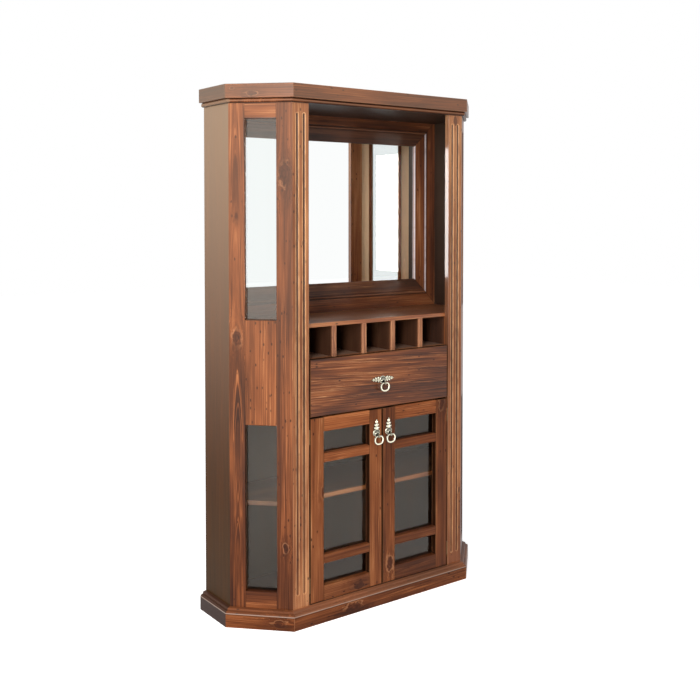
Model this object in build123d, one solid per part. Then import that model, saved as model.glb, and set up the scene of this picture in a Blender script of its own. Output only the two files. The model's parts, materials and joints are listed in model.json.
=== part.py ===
from build123d import *
import math
import os

os.makedirs("parts", exist_ok=True)

# The cabinet stands on z = 0. X runs along its front, +Y towards the wall behind it.
# Plan: a rectangle whose two front corners are cut off at 45 degrees (the cants).
# Pieces are drawn on the right-hand side and mirrored to the left where they come in pairs.

# Whole cabinet
cabinet_height = 1900.0
body_width = 1115.0
body_depth = 341.0
cant_run = 160.5
corner_round = 1.6
edge_round = 1.2
overrun = 40.0

# Boards
frame_board = 20.0
side_board = 20.0
back_board = 6.0
carcass_board = 18.0

# Plinth: a moulded board run round the foot of the body
plinth_height = 66.0
plinth_reach = 23.3
plinth_face_height = 47.0
plinth_ovolo = 9.0
plinth_quirk = 1.3
plinth_fillet = 3.5
plinth_bead = 5.0
base_rail_board = 20.0

# Cornice: a bullnosed top board with a mitred fascia standing on it
fascia_height = 49.0
fascia_board = 22.0
fascia_reach = 20.2
fascia_round = 1.4
fascia_corner_round = 2.8
top_board_thickness = 15.5
top_board_reach = 11.0
top_board_bullnose = 7.0

# Pilasters beside the opening
pilaster_width = 69.0
flute_width = 11.0
flute_depth = 4.2
flute_inset = 20.0
flute_pitch = 28.0
flute_count = 2
flute_foot = 52.0
flute_head = 40.0

# Canted frames
cant_stile_width = 57.0
cant_top_rail = 52.0
cant_bottom_rail_top = 124.0
cant_panel_bottom = 711.0
cant_panel_top = 1080.0

# Glass and the strips that hold it against the back of each frame
glass_thickness = 3.0
glass_overlap = 9.0
bead_leg = 7.0
bead_cover_width = 6.0
bead_cover = 3.0

# Doors
door_board = 22.0
door_side_gap = 5.5
door_meeting_gap = 6.0
door_foot_gap = 2.5
door_top = 727.5
door_stile_width = 57.0
door_top_rail = 51.0
door_bottom_rail = 53.5
door_end_light = 79.0
muntin_height = 32.0
stop_clearance = 0.5

# Drawer and its bay
drawer_gap = 5.5
drawer_foot_clearance = 3.0
drawer_top = 937.0
drawer_side_board = 14.0
drawer_side_height = 150.0
drawer_back_clearance = 30.0
drawer_bay_clearance = 15.5
drawer_side_lift = 12.0
drawer_bottom_board = 6.0
drawer_bottom_groove = 6.0
drawer_bottom_lift = 10.0
runner_height = 14.0
runner_bite = 7.0
runner_clearance = 0.3
runner_lift = 67.0
runner_setback = 2.0
runner_back_clearance = 25.0

# Wine rack and display shelf above the drawer
bay_side_setback = 3.5
divider_board = 17.5
divider_count = 4
rack_height = 110.8
display_shelf_board = 14.2

# Cupboard shelf
cupboard_shelf_top = 438.0
cupboard_shelf_board = 16.0
cupboard_shelf_setback = 43.0
bearer_height = 20.0
bearer_board = 16.0
glass_clearance = 1.0

# Mirror and its frame
mirror_thickness = 4.0
mirror_overlap = 9.0
mirror_edge_clearance = 0.5
mirror_side_width = 109.5
mirror_head_width = 99.5
mirror_foot_width = 113.0
mirror_inner_width = 63.0
mirror_frame_depth = 18.0
mirror_band_depth = 15.0
mirror_quirk_width = 2.0
mirror_quirk_depth = 12.0
mirror_bead_width = 9.0
mirror_slope_drop = 4.0
mirror_lip_width = 5.0
mirror_lip_depth = 8.0

# Butt hinges
hinge_height = 50.0
hinge_knuckle = 4.5
hinge_leaf = 1.0
hinge_leaf_width = 15.0
hinge_pin = 2.2
hinge_pin_clearance = 0.05
hinge_cut_clearance = 0.5
hinge_end_clearance = 0.2
hinge_inset = 65.0
hinge_setback = 2.5
hinge_cap = 1.5

# Magnetic catch
catch_width = 48.0
catch_depth = 14.0
catch_height = 13.0
catch_gap = 0.3
strike_width = 14.0
strike_height = 12.0
strike_thickness = 1.2
strike_inset = 4.0

# Ring pulls
plate_thickness = 3.0
plate_round = 1.0
door_plate_height = 64.0
door_plate_width = 34.0
door_plate_foot = 27.0
door_plate_leaf_width = 20.0
door_plate_bottom = 626.0
door_pivot_lift = 2.0
door_pull_inset = 25.5
stem_start_share = 0.75
drawer_plate_width = 104.0
drawer_plate_height = 30.0
drawer_plate_boss_width = 32.0
drawer_plate_wing_height = 17.0
drawer_plate_bottom = 822.0
drawer_pivot_lift = 1.0
wing_start_share = 0.33
leaf_belly_share = 0.4
leaf_stalk_share = 0.25
ring_wire = 5.0
ring_flat = 9.0
ring_dip_radius = 5.8
ring_shoulder_radius = 6.5
ring_shoulder_angle = 43.5
ring_drop = 30.0
pivot_reach = 16.0
lug_width = 7.0
lug_wall = 2.3
lug_hole_clearance = 0.8
lug_seat_gap = 0.3

root2 = math.sqrt(2)

half_width = body_width / 2
front_half = half_width - cant_run
cant_length = cant_run * root2
front_y = (plinth_reach - body_depth) / 2
back_y = front_y + body_depth
half_opening = front_half - pilaster_width

fascia_bottom = cabinet_height - fascia_height
body_top = fascia_bottom - top_board_thickness
floor_top = plinth_height
door_foot = floor_top + door_foot_gap
drawer_foot = door_top + drawer_gap
deck_top = drawer_foot - drawer_foot_clearance
deck_bottom = deck_top - carcass_board
rack_floor_top = drawer_top
shelf_bottom = rack_floor_top + rack_height
shelf_top = shelf_bottom + display_shelf_board
bay_half = half_opening + bay_side_setback
hinge_x = half_opening - door_side_gap / 2
hinge_y = front_y + hinge_setback
back_inner_y = back_y - back_board
frame_back_y = front_y + frame_board
glass_inset = frame_board + glass_thickness + bead_cover + glass_clearance


def plan(front, cant, side, back):
    """Corners of the cabinet's plan, anticlockwise from the front right, each edge moved in."""
    x_front = front_half - cant * root2 + front
    x_side = half_width - side
    y_front = front_y + front
    y_side = front_y + x_side - front_half + cant * root2
    y_back = back_y - back
    right = [(x_front, y_front), (x_side, y_side), (x_side, y_back)]
    left = [(-x, y) for x, y in reversed(right)]
    return right + left


def prism(points, low, high):
    """Upright prism over a closed plan."""
    face = make_face(Polyline(*points, close=True))
    return extrude(Plane.XY.offset(low) * face, high - low, dir=(0, 0, 1))


def block(x0, x1, y0, y1, z0, z1):
    """Box between two opposite corners."""
    centre = Pos((x0 + x1) / 2, (y0 + y1) / 2, (z0 + z1) / 2)
    return centre * Box(abs(x1 - x0), abs(y1 - y0), abs(z1 - z0))


def rounded_prism(inset, radius, low, high):
    """Prism over the plan with its four front corners rounded."""
    points = plan(inset, inset, inset, 0)
    face = make_face(Polyline(*points, close=True))
    limit = back_y - overrun
    corners = [v for v in face.vertices() if v.Y < limit]
    face = fillet(corners, radius)
    return extrude(Plane.XY.offset(low) * face, high - low, dir=(0, 0, 1))


def sector(part, low, high):
    """Wedge between mitre planes that one run of a mitred surround lies in."""
    out = plan(-overrun, -overrun, -overrun, -overrun)
    inn = plan(overrun, overrun, overrun, -overrun)
    spans = {
        "front": [out[5], out[0], inn[0], inn[5]],
        "cant": [out[0], out[1], inn[1], inn[0]],
        "side": [out[1], out[2], inn[2], inn[1]],
    }
    return prism(spans[part], low, high)


def cant_point(along, depth):
    """Plan point on the right-hand cant: distance from its front corner, distance inwards."""
    return (front_half + (along - depth) / root2, front_y + (along + depth) / root2)


def cant_block(s0, s1, d0, d1, z0, z1):
    """Box set square to the right-hand cant."""
    corners = [cant_point(s0, d0), cant_point(s1, d0), cant_point(s1, d1), cant_point(s0, d1)]
    return prism(corners, z0, z1)


def cant_plane(along, depth, height):
    """Plane on the right-hand cant: x along it, z pointing into the cabinet."""
    x, y = cant_point(along, depth)
    return Plane(origin=(x, y, height), x_dir=(1, 1, 0), z_dir=(-1, 1, 0))


def mirrored(shape):
    """The same piece on the left-hand side."""
    return mirror(shape, about=Plane.YZ)


def pair(shape):
    """A piece and its mirror image as separate solids."""
    return Compound([shape.solid(), mirrored(shape).solid()])


def group(shapes):
    """Several separate solids as one group."""
    return Compound([solid for shape in shapes for solid in shape.solids()])


def eased(shape, edges):
    """Takes the sharpness off some edges of a board."""
    return fillet(edges, edge_round)


def front_face(shape):
    """The face of a board that looks out at the room."""
    return shape.faces().sort_by(Axis.Y)[0]


def frame_member(length, reach, member, profile):
    """Top member of a mitred frame: its profile runs inwards from the outer edge."""
    plane = Plane(origin=(0, reach, 0), x_dir=(0, -1, 0), z_dir=(-1, 0, 0))
    bar = extrude(plane * profile, length / 2, both=True)
    outer, inner = length / 2, length / 2 - member
    corners = [(-outer, reach), (outer, reach), (inner, reach - member), (-inner, reach - member)]
    return bar & prism(corners, -overrun, overrun)


def mitred_frame(width, height, member, profile):
    """Four mitred members of one profile, centred on the origin in the XY plane."""
    across = frame_member(width, height / 2, member, profile)
    upright = frame_member(height, width / 2, member, profile)
    turns = [(across, 0), (upright, 90), (across, 180), (upright, 270)]
    return [Rot(0, 0, angle) * member for member, angle in turns]


def moulding(profile, origin, outward):
    """A long bar of a profile whose x runs outwards from the body and whose y is up."""
    plane = Plane(origin=origin, x_dir=outward, z_dir=Vector(*outward).cross(Vector(0, 0, 1)))
    return extrude(plane * profile, body_width, both=True)


def glazing(width, height):
    """A pane over a light of this size and the four L-shaped strips that hold it."""
    pane_w, pane_h = width + 2 * glass_overlap, height + 2 * glass_overlap
    pane = Pos(0, 0, glass_thickness / 2) * Box(pane_w, pane_h, glass_thickness)
    depth = glass_thickness + bead_cover
    bead_width = bead_leg + bead_cover_width
    corners = [(0, 0), (0, depth), (bead_width, depth), (bead_width, glass_thickness)]
    corners += [(bead_leg, glass_thickness), (bead_leg, 0)]
    profile = make_face(Polyline(*corners, close=True))
    strips = mitred_frame(pane_w + 2 * bead_leg, pane_h + 2 * bead_leg, bead_width, profile)
    return pane, strips


# Body boards: cut from one rounded shell, mitred where they meet
shell = rounded_prism(0, corner_round, 0, body_top)
shell -= prism(plan(frame_board, frame_board, side_board, -overrun), 0, body_top)


def body_sector(part):
    return shell & sector(part, 0, body_top)


def pilaster():
    """Fluted board beside the opening, mitred to the cant on its outer edge."""
    keep = block(half_opening, half_width, front_y - overrun, frame_back_y, 0, body_top)
    board = body_sector("front") & keep
    inner_edge = front_face(board).edges().filter_by(Axis.Z).sort_by(Axis.X)[0]
    board = eased(board, [inner_edge])
    radius = (flute_width ** 2 / 4 + flute_depth ** 2) / (2 * flute_depth)
    low = plinth_height + flute_foot
    high = body_top - flute_head
    for index in range(flute_count):
        x = half_opening + flute_inset + index * flute_pitch
        y = front_y + flute_depth - radius
        board -= Pos(x, y, (low + high) / 2) * Cylinder(radius, high - low)
        board -= Pos(x, y, low) * Sphere(radius)
        board -= Pos(x, y, high) * Sphere(radius)
    return board


def cant_lights():
    """Bottom and top of the two lights of a canted frame, upper light first."""
    upper = (cant_panel_top, body_top - cant_top_rail)
    return [upper, (cant_bottom_rail_top, cant_panel_bottom)]


def cant_boards():
    """Stiles, rails and solid panel of the right-hand canted frame."""
    band = body_sector("cant")
    inner = cant_length - cant_stile_width
    for low, high in cant_lights():
        band -= cant_block(cant_stile_width, inner, -overrun, overrun, low, high)
    face = band.faces().sort_by(Axis((0, 0, 0), (-1, 1, 0)))[0]
    band = eased(band, [edge for wire in face.inner_wires() for edge in wire.edges()])
    deep = (-overrun, overrun)
    front = band & cant_block(-overrun, cant_stile_width, *deep, 0, body_top)
    back = band & cant_block(inner, cant_length + overrun, *deep, 0, body_top)
    middle = (cant_stile_width, inner)
    top = band & cant_block(*middle, *deep, body_top - cant_top_rail, body_top)
    foot = band & cant_block(*middle, *deep, 0, cant_bottom_rail_top)
    panel = band & cant_block(*middle, *deep, cant_panel_bottom, cant_panel_top)
    return front, back, top, foot, panel


def cant_glazing():
    """Panes and strips of the right-hand canted frame, upper light first."""
    width = cant_length - 2 * cant_stile_width
    panes, strips = [], []
    for low, high in cant_lights():
        plane = cant_plane(cant_length / 2, frame_board, (low + high) / 2)
        pane, beads = glazing(width, high - low)
        panes.append(plane.location * pane)
        strips += [plane.location * bead for bead in beads]
    return panes, strips


def plinth():
    """Moulded plinth boards, mitred at the four front corners: front, right cant, right side."""
    top_of_ovolo = plinth_face_height + plinth_ovolo
    shoulder = plinth_reach - plinth_ovolo - plinth_quirk
    bead_foot = top_of_ovolo + plinth_fillet
    bead_in = shoulder - plinth_bead
    bead_top = bead_foot + plinth_bead
    face_top = (plinth_reach, plinth_face_height)
    ovolo_end = (plinth_reach - plinth_ovolo, top_of_ovolo)
    bead_start, bead_end = (shoulder, bead_foot), (bead_in, bead_top)
    outline = Polyline((0, plinth_height), (0, 0), (plinth_reach, 0), face_top)
    outline += TangentArc(face_top, ovolo_end, tangent=(0, 1))
    outline += Polyline(ovolo_end, (shoulder, top_of_ovolo), bead_start)
    outline += TangentArc(bead_start, bead_end, tangent=(0, 1))
    outline += Line(bead_end, (0, plinth_height))
    profile = make_face(outline)
    x, y = cant_point(cant_length / 2, 0)
    runs = {
        "front": moulding(profile, (0, front_y, 0), (0, -1, 0)),
        "cant": moulding(profile, (x, y, 0), (1, -1, 0)),
        "side": moulding(profile, (half_width, 0, 0), (1, 0, 0)),
    }
    limit = rounded_prism(-plinth_reach, corner_round, 0, plinth_height)
    return {part: bar & sector(part, 0, plinth_height) & limit for part, bar in runs.items()}


def cornice():
    """Fascia boards standing on the top board, mitred at the four front corners."""
    outer = rounded_prism(-fascia_reach, fascia_corner_round, fascia_bottom, cabinet_height)
    rims = outer.faces().filter_by(Axis.Z)
    edges = [e for face in rims for e in face.edges() if e.center().Y < back_y - edge_round]
    outer = fillet(edges, fascia_round)
    inner = fascia_board - fascia_reach
    outer -= prism(plan(inner, inner, inner, -overrun), fascia_bottom, cabinet_height)
    return {part: outer & sector(part, fascia_bottom, cabinet_height)
            for part in ("front", "cant", "side")}


def top_board():
    """Bullnosed board that closes the body and carries the fascia."""
    reach = -top_board_reach
    board = prism(plan(reach, reach, reach, 0), body_top, fascia_bottom)
    rims = board.faces().filter_by(Axis.Z)
    edges = [e for face in rims for e in face.edges() if e.center().Y < back_y - edge_round]
    return fillet(edges, top_board_bullnose)


def divider_centres():
    """Centres of the rack dividers, which share the rack's width equally."""
    hole = (2 * bay_half - divider_count * divider_board) / (divider_count + 1)
    return [-bay_half + (i + 1) * hole + (i + 1 / 2) * divider_board for i in range(divider_count)]


def rack():
    """Rack floor, dividers, display shelf and the two uprights of the drawer bay."""
    floor = block(-bay_half, bay_half, frame_back_y + stop_clearance, back_inner_y,
                  rack_floor_top - carcass_board, rack_floor_top)
    dividers = []
    for x in divider_centres():
        board = block(x - divider_board / 2, x + divider_board / 2, frame_back_y, back_inner_y,
                      rack_floor_top, shelf_bottom)
        dividers.append(eased(board, front_face(board).edges().filter_by(Axis.Z)))
    shelf = prism(plan(frame_board, frame_board, side_board, back_board), shelf_bottom, shelf_top)
    shelf = eased(shelf, front_face(shelf).edges().filter_by(Axis.X))
    upright = block(bay_half, bay_half + carcass_board, frame_back_y, back_inner_y,
                    deck_top, shelf_bottom)
    return floor, dividers, shelf, upright


def drawer():
    """Drawer front, box and bottom, and the runner on the right-hand upright."""
    half_front = half_opening - door_side_gap
    outer = bay_half - drawer_bay_clearance
    inner = outer - drawer_side_board
    groove = inner + drawer_bottom_groove
    low = drawer_foot + drawer_side_lift
    high = low + drawer_side_height
    end_y = back_inner_y - drawer_back_clearance
    bottom_z = low + drawer_bottom_lift
    bottom_top = bottom_z + drawer_bottom_board
    bottom = block(-groove, groove, frame_back_y - drawer_bottom_groove, end_y,
                   bottom_z, bottom_top)
    front = block(-half_front, half_front, front_y, frame_back_y, drawer_foot, drawer_top)
    front = eased(front, front_face(front).edges()) - bottom
    runner_z = low + runner_lift
    bite = outer - runner_bite
    side = block(inner, outer, frame_back_y, end_y, low, high) - bottom
    side -= block(bite, outer, frame_back_y, end_y,
                  runner_z - runner_clearance, runner_z + runner_height + runner_clearance)
    back = block(-inner, inner, end_y - drawer_side_board, end_y, bottom_top, high)
    start = frame_back_y + runner_setback
    runner = block(bite + runner_clearance, bay_half, start,
                   back_inner_y - runner_back_clearance, runner_z, runner_z + runner_height)
    return front, side, back, bottom, runner


def door_boards():
    """Stiles, rails, muntins and glazing of the right-hand door."""
    outer = half_opening - door_side_gap
    inner = door_meeting_gap / 2
    back = front_y + door_board
    left, right = inner + door_stile_width, outer - door_stile_width
    low, high = door_foot + door_bottom_rail, door_top - door_top_rail
    low_muntin, high_muntin = low + door_end_light, high - door_end_light
    leaf = block(inner, outer, front_y, back, door_foot, door_top)
    lights = [(low, low_muntin), (low_muntin + muntin_height, high_muntin - muntin_height),
              (high_muntin, high)]
    deep = (front_y - overrun, back)
    for z0, z1 in lights:
        leaf -= block(left, right, *deep, z0, z1)
    leaf = eased(leaf, front_face(leaf).edges())
    inner_stile = leaf & block(inner, left, *deep, door_foot, door_top)
    outer_stile = leaf & block(right, outer, *deep, door_foot, door_top)
    rails = [leaf & block(left, right, *deep, high, door_top),
             leaf & block(left, right, *deep, door_foot, low)]
    muntins = [leaf & block(left, right, *deep, z, z + muntin_height)
               for z in (high_muntin - muntin_height, low_muntin)]
    pane, beads = glazing(right - left, high - low)
    centre = ((left + right) / 2, back, (low + high) / 2)
    plane = Plane(origin=centre, x_dir=(1, 0, 0), z_dir=(0, 1, 0))
    beads = [plane.location * bead for bead in beads]
    return inner_stile, outer_stile, rails, muntins, plane.location * pane, beads


def hinge_half(edge, inwards, spans, low, high):
    """One leaf of a butt hinge: a plate let on to an edge, with the knuckles it carries."""
    radius = hinge_knuckle / 2
    leaf_start = hinge_y + radius + hinge_cut_clearance
    face = edge + inwards * hinge_leaf
    half = block(edge, face, leaf_start, leaf_start + hinge_leaf_width, low, high)
    for z0, z1 in spans:
        half += Pos(hinge_x, hinge_y, (z0 + z1) / 2) * Cylinder(radius, z1 - z0)
        half += block(edge + inwards * hinge_cut_clearance / 2, face, hinge_y, leaf_start, z0, z1)
    bore = hinge_pin / 2 + hinge_pin_clearance
    return half - Pos(hinge_x, hinge_y, (low + high) / 2) * Cylinder(bore, high - low + overrun)


def hinges():
    """Right-hand hinges, lower one first: frame leaves, door leaves and pins."""
    third = hinge_height / 3
    frame_leaves, door_leaves, pins = [], [], []
    for z in (door_foot + hinge_inset, door_top - hinge_inset):
        low, high = z - hinge_height / 2, z + hinge_height / 2
        outer_spans = [(low, low + third - hinge_end_clearance),
                       (high - third + hinge_end_clearance, high)]
        frame_leaves.append(hinge_half(half_opening, -1, outer_spans, low, high))
        door_edge = half_opening - door_side_gap
        door_leaves.append(hinge_half(door_edge, 1, [(low + third, high - third)], low, high))
        pin = Pos(hinge_x, hinge_y, z) * Cylinder(hinge_pin / 2, hinge_height)
        for cap_z in (high + hinge_cap / 2, low - hinge_cap / 2):
            pin += Pos(hinge_x, hinge_y, cap_z) * Cylinder(hinge_knuckle / 2, hinge_cap)
        pins.append(pin)
    return frame_leaves, door_leaves, pins


def ring(x, pivot_z):
    """Closed wire ring whose top dips to a short flat that lies in the eye."""
    turn = math.radians(ring_shoulder_angle)
    dip, shoulder = ring_dip_radius, ring_shoulder_radius
    flat = (ring_flat / 2, 0)
    rise = (flat[0] + dip * math.sin(turn), dip * (1 - math.cos(turn)))
    half = rise[0] + shoulder * (math.sin(turn) + 1)
    side_top = (half, rise[1] - shoulder * math.cos(turn))
    side_foot = (half, half - ring_drop)
    half_path = Line((0, 0), flat) + TangentArc(flat, rise, tangent=(1, 0))
    half_path += TangentArc(rise, side_top, tangent=(math.cos(turn), math.sin(turn)))
    half_path += Line(side_top, side_foot)
    half_path += TangentArc(side_foot, (0, -ring_drop), tangent=(0, -1))
    path = half_path + mirror(half_path, about=Plane.YZ)
    place = Plane(origin=(x, front_y - pivot_reach, pivot_z), x_dir=(1, 0, 0), z_dir=(0, -1, 0))
    section = Plane(origin=(0, 0, 0), z_dir=(1, 0, 0)) * Circle(ring_wire / 2)
    return place.location * sweep(section, path=path)


def lug(x, pivot_z):
    """Eye that stands out of a backplate and carries the ring's flat."""
    hole = ring_wire / 2 + lug_hole_clearance
    hole_z = pivot_z + lug_hole_clearance - lug_seat_gap
    outer = hole + lug_wall
    y = front_y - pivot_reach
    body = block(x - lug_width / 2, x + lug_width / 2, y, front_y - plate_thickness,
                 hole_z - outer, hole_z + outer)
    turned = Pos(x, y, hole_z) * Rot(0, 90, 0)
    body += turned * Cylinder(outer, lug_width)
    return body - turned * Cylinder(hole, lug_width + overrun)


def plate_blank(face, x, z):
    """Thin plate on the front plane, with the edges of its front face rounded."""
    plane = Plane(origin=(x, front_y, z), x_dir=(1, 0, 0), z_dir=(0, -1, 0))
    blank = extrude(plane * face, plate_thickness)
    return fillet(front_face(blank).edges(), plate_round)


def leaf_outline(length, width):
    """Pointed leaf standing on the origin, tip up."""
    belly, stalk = length * leaf_belly_share, width * leaf_stalk_share
    right = ThreePointArc((stalk, 0), (width / 2, belly), (0, length))
    left = ThreePointArc((0, length), (-width / 2, belly), (-stalk, 0))
    return make_face(right + left + Line((-stalk, 0), (stalk, 0)))


def door_plate(x):
    """Upright leaf-shaped backplate of a door pull, with its eye."""
    half = door_plate_width / 2
    foot = Pos(0, door_plate_foot / 2) * Ellipse(half, door_plate_foot / 2)
    stem = door_plate_foot * stem_start_share
    leaf = Pos(0, stem) * leaf_outline(door_plate_height - stem, door_plate_leaf_width)
    plate = plate_blank(foot + leaf, x, door_plate_bottom)
    return plate + lug(x, door_plate_bottom + door_pivot_lift)


def drawer_plate():
    """Backplate of the drawer pull: a boss with a leaf to each side, with its eye."""
    boss = Pos(0, drawer_plate_height / 2) * Ellipse(drawer_plate_boss_width / 2,
                                                     drawer_plate_height / 2)
    start = drawer_plate_boss_width * wing_start_share
    length = drawer_plate_width / 2 - start
    wing = leaf_outline(length, drawer_plate_wing_height)
    wing_z = drawer_plate_height / 2
    face = boss + Pos(start, wing_z) * Rot(0, 0, -90) * wing
    face += Pos(-start, wing_z) * Rot(0, 0, 90) * wing
    plate = plate_blank(face, 0, drawer_plate_bottom)
    return plate + lug(0, drawer_plate_bottom + drawer_pivot_lift)


def cupboard():
    """Floor, base rails, deck over the doors, shelf and the strips that carry the shelf."""
    low = floor_top - carcass_board
    floor = prism(plan(frame_board, frame_board, side_board, 0), low, floor_top)
    front_rail = block(-half_opening, half_opening, front_y, frame_back_y, 0, floor_top)
    x = half_width - side_board
    back_rail = block(-x, x, back_y - base_rail_board, back_y, 0, low)
    stop = door_board + stop_clearance
    deck = prism(plan(stop, glass_inset, side_board, back_board), deck_bottom, deck_top)
    shelf_low = cupboard_shelf_top - cupboard_shelf_board
    shelf = prism(plan(cupboard_shelf_setback, glass_inset, side_board, back_board),
                  shelf_low, cupboard_shelf_top)
    shelf = eased(shelf, front_face(shelf).edges().filter_by(Axis.X))
    z0 = shelf_low - bearer_height
    rear = back_inner_y - bearer_board
    side_start = front_y + cant_run + bearer_board
    back_bearer = block(-x, x, rear, back_inner_y, z0, shelf_low)
    side_bearer = block(x - bearer_board, x, side_start, rear, z0, shelf_low)
    return floor, [front_rail, back_rail], deck, shelf, [back_bearer, side_bearer]


def mirror_profile(width):
    """Section of the mirror frame: flat band, bead between quirks, slope down to a lip."""
    bead_end = width - mirror_inner_width + mirror_quirk_width + mirror_bead_width
    band_end = width - mirror_inner_width
    bead_start = bead_end - mirror_bead_width
    slope_start = bead_end + mirror_quirk_width
    slope_end = width - mirror_lip_width
    rebate = width - mirror_overlap - mirror_edge_clearance
    band, quirk = mirror_band_depth, mirror_quirk_depth
    outline = Polyline((0, 0), (0, band), (band_end, band), (band_end, quirk),
                       (bead_start, quirk))
    top = ((bead_start + bead_end) / 2, mirror_frame_depth)
    outline += ThreePointArc((bead_start, quirk), top, (bead_end, quirk))
    outline += Polyline((bead_end, quirk), (slope_start, quirk), (slope_start, band),
                        (slope_end, band - mirror_slope_drop), (width, mirror_lip_depth),
                        (width, mirror_thickness), (rebate, mirror_thickness), (rebate, 0), (0, 0))
    return make_face(outline)


def mirror_and_frame():
    """Mirror frame, its members trimmed to fit the niche, and the glass behind them."""
    niche_half = half_width - side_board
    width = 2 * (niche_half - mirror_side_width)
    low, high = shelf_top + mirror_foot_width, body_top - mirror_head_width
    member = max(mirror_side_width, mirror_head_width, mirror_foot_width)
    plane = Plane(origin=(0, back_inner_y, (low + high) / 2), x_dir=(1, 0, 0), z_dir=(0, -1, 0))
    niche = block(-niche_half, niche_half, front_y, back_inner_y, shelf_top, body_top)
    members = mitred_frame(width + 2 * member, high - low + 2 * member, member,
                           mirror_profile(member))
    members = [(plane.location * bar) & niche for bar in members]
    glass = Pos(0, 0, mirror_thickness / 2) * Box(width + 2 * mirror_overlap,
                                                  high - low + 2 * mirror_overlap,
                                                  mirror_thickness)
    return members, plane.location * glass


def catch():
    """Magnetic catch under the deck and the right-hand door's strike plate."""
    back = front_y + door_board
    start = back + strike_thickness + catch_gap
    body = block(-catch_width / 2, catch_width / 2, start, start + catch_depth,
                 deck_bottom - catch_height, deck_bottom)
    x0 = door_meeting_gap / 2 + strike_inset
    z1 = deck_bottom - catch_gap
    strike = block(x0, x0 + strike_width, back, back + strike_thickness, z1 - strike_height, z1)
    return body, strike


def build():
    """Every sub-part under its name."""
    nodes = {}
    plinth_runs, fascia = plinth(), cornice()
    nodes["plinth_front"] = plinth_runs["front"]
    nodes["plinth_returns"] = group([pair(plinth_runs["cant"]), pair(plinth_runs["side"])])
    nodes["cornice_front"] = fascia["front"]
    nodes["cornice_returns"] = group([pair(fascia["cant"]), pair(fascia["side"])])
    nodes["top_board"] = top_board()
    nodes["back_panel"] = block(-half_width + side_board, half_width - side_board,
                                back_inner_y, back_y, floor_top, body_top)
    nodes["right_side_panel"] = body_sector("side")
    nodes["right_pilaster"] = pilaster()
    front_stile, back_stile, top_rail, foot_rail, panel = cant_boards()
    nodes["right_cant_front_stile"] = front_stile
    nodes["right_cant_back_stile"] = back_stile
    nodes["right_cant_rails"] = group([top_rail, foot_rail])
    nodes["right_cant_panel"] = panel
    panes, strips = cant_glazing()
    nodes["cant_glass_panes"] = group([pair(pane) for pane in panes])
    nodes["cant_glass_beads"] = group([pair(strip) for strip in strips])
    members, mirror_glass = mirror_and_frame()
    nodes["mirror_frame"] = group(members)
    nodes["mirror_glass"] = mirror_glass
    rack_floor, dividers, display_shelf, upright = rack()
    nodes["rack_floor"] = rack_floor
    nodes["rack_dividers"] = group(dividers)
    nodes["display_shelf"] = display_shelf
    nodes["drawer_bay_sides"] = pair(upright)
    cupboard_floor, base_rails, deck, cupboard_shelf, bearers = cupboard()
    nodes["cupboard_floor"] = cupboard_floor
    nodes["base_rails"] = group(base_rails)
    nodes["drawer_deck"] = deck
    nodes["cupboard_shelf"] = cupboard_shelf
    nodes["shelf_bearers"] = group([bearers[0], pair(bearers[1])])
    front, side, back, bottom, runner = drawer()
    nodes["drawer_front"] = front
    nodes["drawer_box"] = group([pair(side), back])
    nodes["drawer_bottom"] = bottom
    nodes["drawer_runners"] = pair(runner)
    inner_stile, outer_stile, rails, muntins, pane, beads = door_boards()
    frame_leaves, door_leaves, pins = hinges()
    catch_body, strike = catch()
    nodes["hinge_frame_leaves"] = group([pair(leaf) for leaf in frame_leaves])
    nodes["hinge_pins"] = group([pair(pin) for pin in pins])
    nodes["magnetic_catch"] = catch_body
    nodes["right_door_inner_stile"] = inner_stile
    nodes["right_door_outer_stile"] = outer_stile
    nodes["right_door_rails"] = group(rails)
    nodes["right_door_muntins"] = group(muntins)
    nodes["right_door_glass"] = pane
    nodes["right_door_beads"] = group(beads)
    nodes["right_door_hinge_leaves"] = group(door_leaves)
    nodes["right_door_strike"] = strike
    pull_x = door_meeting_gap / 2 + door_pull_inset
    nodes["right_door_backplate"] = door_plate(pull_x)
    nodes["right_door_ring"] = ring(pull_x, door_plate_bottom + door_pivot_lift)
    for name in [n for n in nodes if n.startswith("right_")]:
        twin = [mirrored(solid) for solid in nodes[name].solids()]
        nodes[name.replace("right_", "left_", 1)] = group(twin)
    nodes["drawer_backplate"] = drawer_plate()
    nodes["drawer_ring"] = ring(0, drawer_plate_bottom + drawer_pivot_lift)
    return nodes


for name, shape in build().items():
    export_step(shape, os.path.join("parts", name + ".step"))
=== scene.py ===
# %% [markdown]
# # A pine display cabinet, dressed in Blender
# The cabinet's boards, glass and joints come packed from CAD and are already in place, in metres.
# This lesson gives every board its stained and lacquered wood, adds the cast brass pulls and the
# small fasteners, and sets up a plain studio. We start from an empty file, because Blender's
# start-up cube, lamp and camera would otherwise be counted as parts of the cabinet.

import json
import math
import random

import bmesh
import bpy
import numpy as np
from mathutils import Matrix, Vector

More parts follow.
